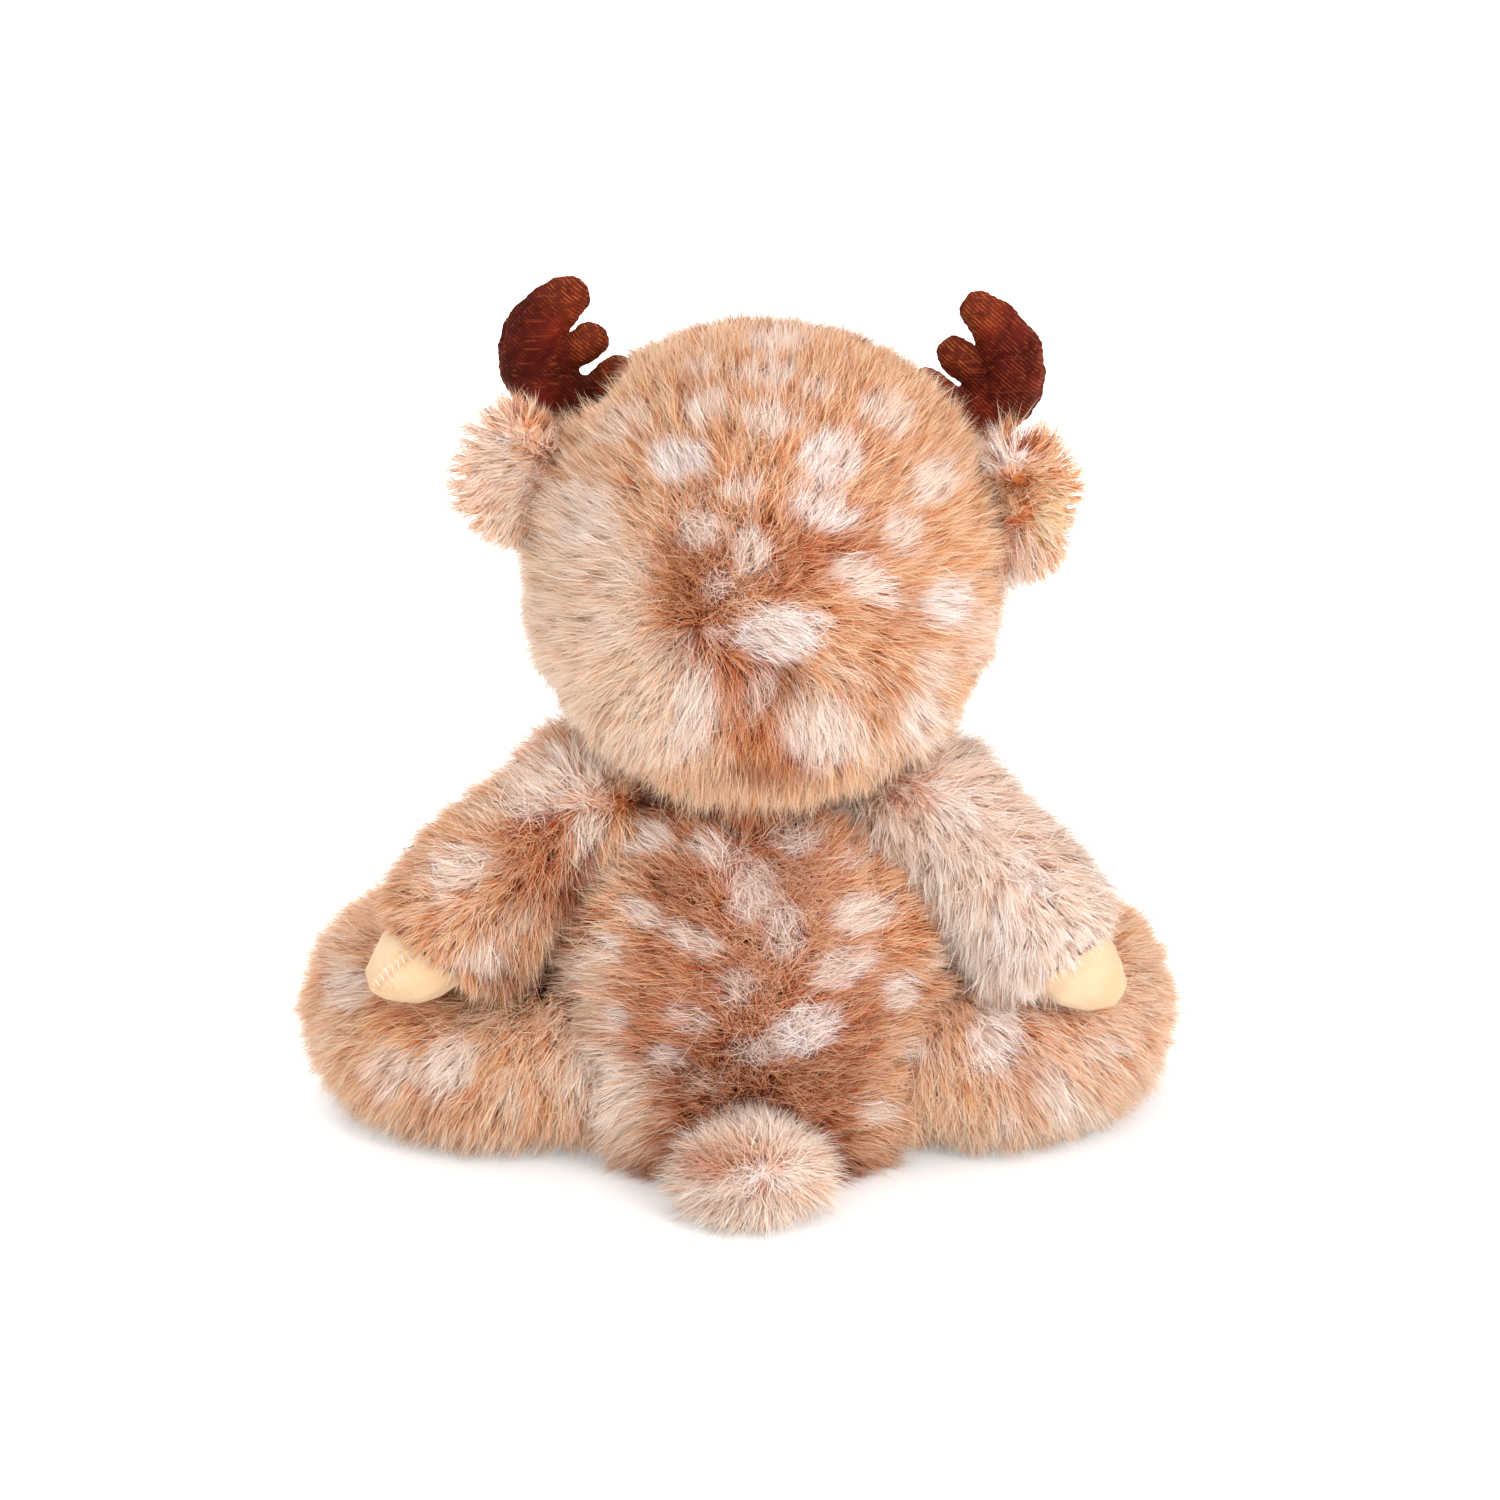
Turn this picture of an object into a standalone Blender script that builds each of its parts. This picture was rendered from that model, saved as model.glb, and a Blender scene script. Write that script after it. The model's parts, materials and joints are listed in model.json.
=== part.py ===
"""A seated plush deer: fur skins over stuffing, suede hooves, velvet antlers and a short round tail.

Units are metres and +Z is up. The toy faces -Y, its left side is +X, and the origin is the middle of
the flat seat under its torso. Every skin is a hollow cloth shell with its own stuffing inside, and each
soft joint is a stuffed ball, or a rolled edge, that sits in a pocket of the piece that carries it.
"""

import math

import bmesh
import bpy
from mathutils import Matrix, Vector

# Cloths and clearances
FUR_CLOTH = 0.006  # fur fabric with its pile half pressed down
PLUSH_CLOTH = 0.003  # short plush of the muzzle
SUEDE_CLOTH = 0.0012
VELVET_CLOTH = 0.0012
SEAM_GAP = 0.0005  # free space round a seam that bends
STUFFING_GAP = 0.0003  # free space between a skin and what fills it
FLOOR_FLAT = 0.0005  # how deep the weight flattens what stands on the floor
CUT_OVERRUN = 0.002  # how far a cutter reaches past what it cuts
WELD_DISTANCE = 0.00001

# Torso
TORSO_HEIGHT = 0.112
TORSO_HALF_WIDTH = 0.054
TORSO_HALF_DEPTH = 0.045
TORSO_PROFILE_SHARES = (  # height, half width
    (0.0, 0.70),
    (0.03, 0.80),
    (0.09, 0.91),
    (0.18, 0.98),
    (0.30, 1.0),
    (0.43, 0.985),
    (0.56, 0.94),
    (0.70, 0.87),
    (0.82, 0.78),
    (0.91, 0.66),
    (0.965, 0.53),
    (0.99, 0.36),
    (1.0, 0.0),
)
FLOOR_BLOCK_SIDE = 0.5
FLOOR_BLOCK_DEPTH = 0.05

# Pouch of plastic pellets that weighs the seat down
PELLET_POUCH_HALF_WIDTH = 0.0135
PELLET_POUCH_HALF_DEPTH = 0.027
PELLET_POUCH_HALF_HEIGHT = 0.009
PELLET_POUCH_FLAT = 0.0015

# Neck
NECK_RADIUS = 0.020
NECK_RISE = 0.003  # neck centre above the torso's top

# Head, measured from the neck centre
HEAD_HALF_WIDTH = 0.065
HEAD_HALF_DEPTH = 0.060
HEAD_HEIGHT = 0.130
HEAD_RISE = 0.0045  # underside above the neck centre
HEAD_SHIFT = -0.0027  # the head sits a little to the toy's right
HEAD_ROLL_DEG = -1.0
HEAD_MIDDLE_SHARE = 0.51
HEAD_PROFILE_SHARES = (  # height, half width
    (0.0, 0.0),
    (0.004, 0.23),
    (0.027, 0.49),
    (0.08, 0.69),
    (0.15, 0.83),
    (0.235, 0.915),
    (0.35, 0.985),
    (0.51, 1.0),
    (0.66, 0.945),
    (0.81, 0.777),
    (0.91, 0.57),
    (0.97, 0.34),
    (1.0, 0.0),
)

# Muzzle
MUZZLE_HALF_WIDTH = 0.025
MUZZLE_HALF_DEPTH = 0.024
MUZZLE_HALF_HEIGHT = 0.0185
MUZZLE_CENTRE_HEIGHT_SHARE = 0.30  # of the head's height
MUZZLE_SINK = 0.004  # how far its centre lies inside the head's front

# Eyes and nose: a dome on a shank that a washer holds behind the cloth
EYE_RADIUS = 0.0062
EYE_DOME_HEIGHT = 0.0045
EYE_SPREAD_DEG = 29.0
EYE_RISE_DEG = -3.0
EYE_SINK = 0.0028  # how deep the dome's base lies in the pile
NOSE_RADIUS = 0.0068
NOSE_DOME_HEIGHT = 0.0050
NOSE_WIDTH_SHARE = 1.35
NOSE_RISE_DEG = 24.0
NOSE_SINK = 0.0012
SHANK_RADIUS = 0.0018
SHANK_PAST_WASHER = 0.0022
WASHER_RADIUS = 0.0070
WASHER_THICKNESS = 0.0015
WASHER_BACK_GAP = 0.0007  # free space between the cloth and its washer

# Ears
EAR_REACH = 0.0275
EAR_PLANE = 0.006  # how far behind the head's middle the ears are sewn
EAR_RISE_DEG = 15.0
EAR_OFFSET_DEG = {"left": 0.0, "right": -6.0}
EAR_BEVEL = 0.0034
EAR_EXTRUDE = 0.0006
EAR_OUTLINE_SHARES = (  # out from the seam, along the seam
    (-0.10, -0.50),
    (0.16, -0.58),
    (0.46, -0.57),
    (0.74, -0.36),
    (0.90, 0.00),
    (0.86, 0.40),
    (0.64, 0.72),
    (0.36, 0.76),
    (0.12, 0.60),
    (-0.10, 0.50),
)
EAR_LINING_SHARE = 0.78
EAR_LINING_SHIFT_SHARE = 0.155
EAR_LINING_BEVEL = 0.0007
EAR_LINING_EXTRUDE = 0.0004

# Antlers: a curved beam that ends as the outermost tine, with two shorter tines on its crown side
ANTLER_REACH = 0.040
ANTLER_RADIUS = 0.0098
ANTLER_FLATNESS = 0.72
ANTLER_PLANE = -0.030
ANTLER_RISE_DEG = {"left": 33.5, "right": 30.5}
ANTLER_STANDOFF = {"left": 0.0036, "right": 0.0044}
ANTLER_BEAM_SHARES = (  # out, towards the crown, radius
    (0.0, 0.0, 0.70),
    (0.20, -0.025, 0.82),
    (0.425, -0.0375, 0.96),
    (0.625, 0.0375, 1.0),
    (0.755, 0.20, 0.90),
    (0.76, 0.375, 0.76),
    (0.74, 0.525, 0.67),
    (0.705, 0.65, 0.53),
)
ANTLER_MIDDLE_TINE_SHARES = (
    (0.52, 0.10, 0.50),
    (0.425, 0.30, 0.50),
    (0.40, 0.465, 0.49),
)
ANTLER_INNER_TINE_SHARES = (
    (0.28, 0.03, 0.44),
    (0.19, 0.22, 0.375),
    (0.165, 0.355, 0.355),
)
ANTLER_HOLE_SHARE = 0.4

# Arms, measured from the shoulder centre
ARM_REACH = 0.084
ARM_RADIUS = 0.019
ARM_ROOT_RADIUS = 0.0155
SHOULDER_DROP = 0.0400  # below the torso's top, where the line through a shoulder starts
SHOULDER_RISE_DEG = 38.0
SHOULDER_STANDOFF = 0.0105
SHOULDER_BACK = 0.004
ARM_DROOP_DEG = {"left": -1.0, "right": 1.5}
ARM_SHARES = (  # out, back, up, radius
    (0.0, 0.0, 0.0, 0.816),
    (0.136, 0.034, -0.040, 0.90),
    (0.273, 0.080, -0.125, 0.98),
    (0.420, 0.125, -0.250, 1.0),
    (0.523, 0.159, -0.375, 0.97),
    (0.585, 0.180, -0.460, 0.90),
)
ARM_HOOF_SHARES = (  # out, back, up, stuffing radius
    (0.523, 0.159, -0.375, 0.66),
    (0.585, 0.180, -0.460, 0.665),
    (0.635, 0.188, -0.500, 0.645),
    (0.685, 0.192, -0.532, 0.55),
    (0.728, 0.195, -0.557, 0.42),
    (0.757, 0.196, -0.574, 0.28),
)

HOOF_TIP_SHARE = 0.55  # how blunt a hoof's tip is

# Legs, measured from the hip centre
LEG_REACH = 0.108
LEG_RADIUS = 0.0295
LEG_ROOT_RADIUS = 0.024
HIP_INSET = 0.016  # hip centre inside the torso's widest side
HIP_SLEEVE_START = 0.0015  # the way out of the hip's pocket begins here, past the hip's centre
HIP_SLEEVE_EASE = 0.0001  # how much narrower the way out is than the pocket
LEG_SPREAD_SHARE = {"left": 1.0, "right": 0.89}
LEG_SHARES = (  # out, forward, up, radius
    (0.0, 0.0, 0.0, 0.814),
    (0.130, 0.0, 0.0, 0.814),
    (0.215, 0.006, 0.0, 0.86),
    (0.350, 0.035, 0.0, 0.96),
    (0.510, 0.140, 0.0, 1.0),
    (0.600, 0.300, 0.0, 1.0),
    (0.618, 0.480, -0.003, 0.98),
    (0.604, 0.640, -0.016, 0.91),
    (0.590, 0.745, -0.030, 0.84),
)
LEG_HOOF_SHARES = (  # out, forward, up, stuffing radius
    (0.604, 0.640, -0.016, 0.66),
    (0.590, 0.745, -0.030, 0.655),
    (0.580, 0.830, -0.040, 0.63),
    (0.572, 0.910, -0.046, 0.54),
    (0.567, 0.970, -0.048, 0.40),
    (0.565, 1.010, -0.048, 0.25),
)

# Tail
TAIL_HALF_WIDTH = 0.023
TAIL_HALF_DEPTH = 0.0155
TAIL_HALF_HEIGHT = 0.0145
TAIL_ROOT_RADIUS = 0.009
TAIL_ROOT_HEIGHT = 0.015
TAIL_ROOT_STANDOFF = 0.0015
TAIL_REACH = 0.0155  # pom centre behind the root

# Openings through which the limbs are stuffed
STUFFING_HOLE_SHARE = 0.45  # of the root's radius

# Fineness of the round forms
BODY_STEPS = 24
BALL_SEGMENTS = 24
MIDDLE_BALL_SEGMENTS = 20
SMALL_BALL_SEGMENTS = 16
CORE_STEPS = 12
LIMB_BEVEL_RESOLUTION = 4
LIMB_STEPS_PER_SPAN = 2
CORE_BEVEL_RESOLUTION = 3
ANTLER_BEVEL_RESOLUTION = 3
ANTLER_CORE_BEVEL_RESOLUTION = 1
END_RINGS = 3
DOME_CAP_SHARE = 0.35  # of a ring, left as a small flat at the pole
OUTLINE_RESOLUTION = 2
EDGE_BEVEL_RESOLUTION = 1
BUTTON_STEPS = 14

SIDES = {"left": 1, "right": -1}

parts = None
cutters = None


def clear_scene():
    for obj in list(bpy.data.objects):
        bpy.data.objects.remove(obj, do_unlink=True)


def new_collection(name):
    collection = bpy.data.collections.new(name)
    bpy.context.scene.collection.children.link(collection)
    return collection


def new_material(name, color, roughness):
    material = bpy.data.materials.new(name)
    material.use_nodes = True
    shader = material.node_tree.nodes["Principled BSDF"]
    shader.inputs["Base Color"].default_value = (*color, 1)
    shader.inputs["Roughness"].default_value = roughness
    shader.inputs["Metallic"].default_value = 0
    material.diffuse_color = (*color, 1)
    return material


def pivot(name, location, parent=None, roll=0):
    """An empty on a joint's axis, which carries the pieces that turn with it."""
    empty = bpy.data.objects.new(name, None)
    parts.objects.link(empty)
    empty.parent = parent
    empty.location = location
    empty.rotation_euler = (0, roll, 0)
    bpy.context.view_layer.update()
    return empty


def as_cutter(obj, parent=None):
    cutters.objects.link(obj)
    obj.parent = parent
    obj.hide_render = True
    obj.display_type = "WIRE"
    return obj


def as_part(obj, material, parent=None):
    parts.objects.link(obj)
    obj.parent = parent
    obj.data.materials.append(material)
    obj.data.shade_smooth()
    return obj


def boolean(obj, other, operation="DIFFERENCE"):
    modifier = obj.modifiers.new(other.name, "BOOLEAN")
    modifier.operation = operation
    modifier.object = other
    modifier.solver = "EXACT"


def settled(guide, name):
    """A mesh object with the guide's modifiers and bevels made real, its ends welded and normals out."""
    bpy.context.scene.collection.objects.link(guide)
    bpy.context.view_layer.update()
    graph = bpy.context.evaluated_depsgraph_get()
    mesh = bpy.data.meshes.new_from_object(guide.evaluated_get(graph))
    mesh.transform(guide.matrix_world)
    bpy.data.objects.remove(guide, do_unlink=True)
    work = bmesh.new()
    work.from_mesh(mesh)
    bmesh.ops.remove_doubles(work, verts=work.verts, dist=WELD_DISTANCE)
    bmesh.ops.recalc_face_normals(work, faces=work.faces)
    work.to_mesh(mesh)
    work.free()
    mesh.materials.clear()
    return bpy.data.objects.new(name, mesh)


def grown(form, distance, name):
    """A copy of a smooth closed form with its surface moved out by a distance, or in where it is negative."""
    mesh = form.data.copy()
    work = bmesh.new()
    work.from_mesh(mesh)
    work.normal_update()
    moves = [(vertex, vertex.normal * distance) for vertex in work.verts]
    for vertex, move in moves:
        vertex.co += move
    work.to_mesh(mesh)
    work.free()
    return bpy.data.objects.new(name, mesh)


def between(start, end, share):
    """A row of numbers on the line through two rows, a share of the way from the first to the second."""
    return tuple(s + (e - s) * share for s, e in zip(start, end))


def smooth_row(rows, steps):
    """Rows of numbers with further rows between them, on a Catmull-Rom curve through all of them."""
    points = [rows[0], *rows, rows[-1]]
    smooth = []
    for before, start, end, after in zip(points, points[1:], points[2:], points[3:]):
        for step in range(steps):
            share = step / steps
            first = between(before, start, 1 + share)
            middle = between(start, end, share)
            last = between(end, after, share - 1)
            early = between(first, middle, (1 + share) / 2)
            late = between(middle, last, share / 2)
            smooth.append(between(early, late, share))
    return smooth + [tuple(rows[-1])]


def turned(name, profile, steps, depth_share=1):
    """A solid turned about Z from (radius, height) points, top to bottom, and pressed flatter in Y."""
    mesh = bpy.data.meshes.new(name)
    points = [(radius, 0, height) for radius, height in profile]
    edges = [(i, i + 1) for i in range(len(profile) - 1)]
    mesh.from_pydata(points, edges, [])
    guide = bpy.data.objects.new(name, mesh)
    guide.scale.y = depth_share
    screw = guide.modifiers.new("turn", "SCREW")
    screw.steps = steps
    screw.render_steps = steps
    screw.use_merge_vertices = True
    screw.merge_threshold = WELD_DISTANCE
    return settled(guide, name)


def turned_body(name, height, half_width, half_depth, shares, base, steps=BODY_STEPS):
    profile = [(half_width * width, base + height * level) for level, width in reversed(shares)]
    if profile[-1][0] > 0:
        profile.append((0, profile[-1][1]))
    return turned(name, profile, steps, half_depth / half_width)


def ellipsoid(name, radii, centre=(0, 0, 0), segments=BALL_SEGMENTS):
    mesh = bpy.data.meshes.new(name)
    work = bmesh.new()
    bmesh.ops.create_uvsphere(work, u_segments=segments, v_segments=segments // 2, radius=1)
    bmesh.ops.scale(work, vec=radii, verts=work.verts)
    bmesh.ops.translate(work, vec=centre, verts=work.verts)
    work.to_mesh(mesh)
    work.free()
    return bpy.data.objects.new(name, mesh)


def ball(name, radius, segments=BALL_SEGMENTS):
    return ellipsoid(name, (radius, radius, radius), (0, 0, 0), segments)


def rod(name, radius, start, end, segments=BALL_SEGMENTS):
    """A straight cylinder between two points."""
    start, end = Vector(start), Vector(end)
    along = end - start
    mesh = bpy.data.meshes.new(name)
    work = bmesh.new()
    bmesh.ops.create_cone(
        work, cap_ends=True, segments=segments, radius1=radius, radius2=radius, depth=along.length
    )
    turn = along.to_track_quat("Z", "Y").to_matrix().to_4x4()
    middle = Matrix.Translation((start + end) / 2)
    bmesh.ops.transform(work, matrix=middle @ turn, verts=work.verts)
    work.to_mesh(mesh)
    work.free()
    return bpy.data.objects.new(name, mesh)


def tube(name, stations, nominal, bevel_resolution=LIMB_BEVEL_RESOLUTION):
    """A closed tube of changing radius along (x, y, z, radius) stations."""
    curve = bpy.data.curves.new(name, "CURVE")
    curve.dimensions = "3D"
    curve.bevel_depth = nominal
    curve.bevel_resolution = bevel_resolution
    curve.use_fill_caps = True
    spline = curve.splines.new("POLY")
    spline.points.add(len(stations) - 1)
    for point, (x, y, z, radius) in zip(spline.points, stations):
        point.co = (x, y, z, 1)
        point.radius = radius / nominal
    obj = settled(bpy.data.objects.new(name, curve), name)
    work = bmesh.new()
    work.from_mesh(obj.data)
    bmesh.ops.triangulate(work, faces=work.faces, quad_method="FIXED")
    work.to_mesh(obj.data)
    work.free()
    return obj


def dome(station, direction, radius, depth_share=1):
    """Stations that round off a tube's end as half a ball, or a flatter dome, listed away from the tube."""
    centre = Vector(station[:3])
    rows = []
    for ring in range(1, END_RINGS + 1):
        angle = math.radians(90) * ring / (END_RINGS + DOME_CAP_SHARE)
        place = centre + direction * (radius * math.sin(angle) * depth_share)
        rows.append((*place, radius * math.cos(angle)))
    return rows


def limb_stations(shares, reach, nominal, side, forward_sign, spread_share=1):
    """Stations of a limb in metres, from shares of its reach and of its radius."""
    return [
        (side * spread_share * out * reach, forward_sign * along * reach, up * reach, radius * nominal)
        for out, along, up, radius in shares
    ]


def with_growth(stations, growth):
    return [(x, y, z, radius + growth) for x, y, z, radius in stations]


def rooted(stations, root_radius):
    """The stations with a half ball on their first one, which is the joint's centre."""
    direction = (Vector(stations[1][:3]) - Vector(stations[0][:3])).normalized()
    first = (*stations[0][:3], root_radius)
    return list(reversed(dome(first, -direction, root_radius))) + [first] + stations[1:]


def tipped(stations, depth_share=1):
    """The stations with a dome past their last one."""
    direction = (Vector(stations[-1][:3]) - Vector(stations[-2][:3])).normalized()
    return stations + dome(stations[-1], direction, stations[-1][3], depth_share)


def outline_plate(name, outline, bevel, extrude, growth=0):
    """A flat cushion from a closed outline, its edge rounded by the bevel and moved out by the growth."""
    curve = bpy.data.curves.new(name, "CURVE")
    curve.dimensions = "2D"
    curve.fill_mode = "BOTH"
    curve.offset = -bevel
    curve.bevel_depth = bevel + growth
    curve.bevel_resolution = EDGE_BEVEL_RESOLUTION
    curve.extrude = extrude
    curve.resolution_u = OUTLINE_RESOLUTION
    spline = curve.splines.new("BEZIER")
    spline.use_cyclic_u = True
    spline.bezier_points.add(len(outline) - 1)
    for point, (x, y) in zip(spline.bezier_points, outline):
        point.co = (x, y, 0)
        point.handle_left_type = "AUTO"
        point.handle_right_type = "AUTO"
    for point in (spline.bezier_points[0], spline.bezier_points[-1]):
        point.handle_left_type = "VECTOR"
        point.handle_right_type = "VECTOR"
    return settled(bpy.data.objects.new(name, curve), name)


def surface_hit(form, origin, direction):
    """Where a line from inside a form leaves it, and the way its surface faces there."""
    work = bmesh.new()
    work.from_mesh(form.data)
    bmesh.ops.triangulate(work, faces=work.faces)
    origin, direction = Vector(origin), Vector(direction).normalized()
    found = None
    for face in work.faces:
        a, b, c = (vertex.co for vertex in face.verts)
        normal = (b - a).cross(c - a)
        facing = normal.dot(direction)
        if facing <= 0:
            continue
        reach = normal.dot(a - origin) / facing
        place = origin + direction * reach
        sides = ((a, b), (b, c), (c, a))
        inside = all((end - start).cross(place - start).dot(normal) >= 0 for start, end in sides)
        if inside and reach > 0 and (found is None or reach > found[0]):
            found = (reach, place, normal.normalized())
    work.free()
    return found[1], found[2]


def button(name, frame, radius, dome_height, shank_length, width_share, material, parent):
    """A dome on a shank, turned about the frame's Z axis, with the dome's base at the frame's origin."""
    angles = [math.radians(90) * step / END_RINGS for step in range(END_RINGS, -1, -1)]
    arc = [(radius * math.cos(angle), dome_height * math.sin(angle)) for angle in angles]
    profile = arc + [(SHANK_RADIUS, 0), (SHANK_RADIUS, -shank_length), (0, -shank_length)]
    obj = turned(name, profile, BUTTON_STEPS)
    obj.data.transform(frame @ Matrix.Diagonal((width_share, 1, 1, 1)))
    return as_part(obj, material, parent)


def washer(name, frame, depth, width_share, material, parent):
    """The ring that grips a button's shank behind the cloth."""
    front, back = -depth, -depth - WASHER_THICKNESS
    hole = SHANK_RADIUS + STUFFING_GAP
    profile = [(hole, front), (WASHER_RADIUS, front), (WASHER_RADIUS, back), (hole, back), (hole, front)]
    obj = turned(name, profile, BUTTON_STEPS)
    obj.data.transform(frame @ Matrix.Diagonal((width_share, 1, 1, 1)))
    return as_part(obj, material, parent)


def button_pocket(name, frame, radius, sink, depth, shank_length, width_share, parent):
    """Cutters for a button's seat, shank and washer: one for the cloth and one for the stuffing behind it."""
    free = STUFFING_GAP
    top = sink + CUT_OVERRUN
    shank = SHANK_RADIUS + free
    front = -depth + free
    back = -depth - WASHER_THICKNESS - free
    end = -shank_length - free
    wide = WASHER_RADIUS + free
    behind = [(wide, back), (shank, back), (shank, end), (0, end)]
    rim = radius + free
    seat = [(0, top), (rim, top), (rim, -free), (shank, -free), (shank, front), (wide, front)]
    room = [(0, top), (wide, top)]
    found = []
    for suffix, profile in (("seat", seat + behind), ("room", room + behind)):
        obj = turned(f"{name}_{suffix}", profile, BUTTON_STEPS)
        obj.data.transform(frame @ Matrix.Diagonal((width_share, 1, 1, 1)))
        found.append(as_cutter(obj, parent))
    return found


def facing_frame(place, out):
    """A frame at a place whose Z axis faces out and whose X axis is level."""
    z = Vector(out).normalized()
    x = Vector((0, 0, 1)).cross(z).normalized()
    y = z.cross(x)
    return Matrix.Translation(place) @ Matrix((x, y, z)).transposed().to_4x4()


def build_torso(materials):
    height = TORSO_HEIGHT + FLOOR_FLAT
    size = (height, TORSO_HALF_WIDTH, TORSO_HALF_DEPTH, TORSO_PROFILE_SHARES, -FLOOR_FLAT)
    form = turned_body("torso_form", *size)
    core = turned_body("torso_core", *size, CORE_STEPS)
    skin = as_part(grown(form, 0, "torso_skin"), materials["fur"])
    boolean(skin, as_cutter(grown(core, -FUR_CLOTH, "torso_inside")))
    stuffing = as_part(grown(core, -FUR_CLOTH - STUFFING_GAP, "torso_stuffing"), materials["stuffing"])
    return form, skin, stuffing


def floor_block():
    mesh = bpy.data.meshes.new("floor_block")
    work = bmesh.new()
    bmesh.ops.create_cube(work, size=1)
    size = (FLOOR_BLOCK_SIDE, FLOOR_BLOCK_SIDE, FLOOR_BLOCK_DEPTH)
    bmesh.ops.scale(work, vec=size, verts=work.verts)
    bmesh.ops.translate(work, vec=(0, 0, -FLOOR_BLOCK_DEPTH / 2), verts=work.verts)
    work.to_mesh(mesh)
    work.free()
    return as_cutter(bpy.data.objects.new("floor_block", mesh))


def build_pellet_pouch(materials, stuffing):
    """The pouch lies on the cloth under the stuffing, in a pocket of it."""
    base = FUR_CLOTH + STUFFING_GAP
    centre = (0, 0, base + PELLET_POUCH_HALF_HEIGHT - PELLET_POUCH_FLAT)
    radii = Vector((PELLET_POUCH_HALF_WIDTH, PELLET_POUCH_HALF_DEPTH, PELLET_POUCH_HALF_HEIGHT))
    pouch = as_part(ellipsoid("pellet_pouch", radii, centre, SMALL_BALL_SEGMENTS), materials["pouch"])
    block = rod("pouch_floor", TORSO_HALF_WIDTH, (0, 0, base - FUR_CLOTH), (0, 0, base))
    boolean(pouch, as_cutter(block))
    free = Vector((STUFFING_GAP, STUFFING_GAP, STUFFING_GAP))
    pocket = as_cutter(ellipsoid("pouch_pocket", radii + free, centre, SMALL_BALL_SEGMENTS))
    boolean(stuffing, pocket)


def build_neck(materials, torso_skin, torso_stuffing):
    centre = Vector((0, 0, TORSO_HEIGHT + NECK_RISE))
    turn = pivot("head_turn", centre)
    as_part(ball("neck_stuffing", NECK_RADIUS), materials["stuffing"], turn)
    pocket = as_cutter(ball("neck_pocket", NECK_RADIUS + SEAM_GAP), turn)
    boolean(torso_skin, pocket)
    boolean(torso_stuffing, pocket)
    nod = pivot("head_nod", (0, 0, 0), turn, math.radians(HEAD_ROLL_DEG))
    return nod, pocket


def build_head(materials, nod, neck_pocket):
    size = (HEAD_HEIGHT, HEAD_HALF_WIDTH, HEAD_HALF_DEPTH, HEAD_PROFILE_SHARES, HEAD_RISE)
    form = turned_body("head_form", *size)
    core = turned_body("head_core", *size, CORE_STEPS)
    for shape in (form, core):
        shape.data.transform(Matrix.Translation((HEAD_SHIFT, 0, 0)))
    skin = as_part(grown(form, 0, "head_skin"), materials["fur"], nod)
    boolean(skin, as_cutter(grown(core, -FUR_CLOTH, "head_inside"), nod))
    stuffing = grown(core, -FUR_CLOTH - STUFFING_GAP, "head_stuffing")
    as_part(stuffing, materials["stuffing"], nod)
    boolean(skin, neck_pocket)
    boolean(stuffing, neck_pocket)
    return form, skin, stuffing


def build_muzzle(materials, nod, head_form):
    level = HEAD_RISE + HEAD_HEIGHT * MUZZLE_CENTRE_HEIGHT_SHARE
    place, _ = surface_hit(head_form, (HEAD_SHIFT, 0, level), (0, -1, 0))
    centre = place + Vector((0, MUZZLE_SINK, 0))
    radii = Vector((MUZZLE_HALF_WIDTH, MUZZLE_HALF_DEPTH, MUZZLE_HALF_HEIGHT))
    form = ellipsoid("muzzle_form", radii, centre, SMALL_BALL_SEGMENTS)
    head_seat = as_cutter(grown(head_form, STUFFING_GAP, "muzzle_seat"), nod)
    skin = as_part(grown(form, 0, "muzzle_skin"), materials["plush"], nod)
    boolean(skin, as_cutter(grown(form, -PLUSH_CLOTH, "muzzle_inside"), nod))
    boolean(skin, head_seat)
    stuffing = grown(form, -PLUSH_CLOTH - STUFFING_GAP, "muzzle_stuffing")
    as_part(stuffing, materials["stuffing"], nod)
    boolean(stuffing, head_seat)
    rise = math.radians(NOSE_RISE_DEG)
    tip, facing = surface_hit(form, centre, (0, -math.cos(rise), math.sin(rise)))
    facing = Vector((0, facing.y, facing.z)).normalized()
    size = (NOSE_RADIUS, NOSE_DOME_HEIGHT, NOSE_SINK, PLUSH_CLOTH, NOSE_WIDTH_SHARE)
    build_button("nose", tip, facing, size, materials, nod, (skin, stuffing))


def build_button(name, place, facing, size, materials, nod, cut):
    """A dome with its shank and washer, and their room in the cloth and stuffing they are cut from."""
    radius, dome_height, sink, cloth, width_share = size
    seat = Vector(place) - Vector(facing) * sink
    frame = facing_frame(seat, facing)
    depth = cloth - sink + WASHER_BACK_GAP
    shank_length = depth + WASHER_THICKNESS + SHANK_PAST_WASHER
    button(name, frame, radius, dome_height, shank_length, width_share, materials["button"], nod)
    washer(f"{name}_washer", frame, depth, width_share, materials["washer"], nod)
    rooms = button_pocket(name, frame, radius, sink, depth, shank_length, width_share, nod)
    for obj, room in zip(cut, rooms):
        boolean(obj, room)


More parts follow.
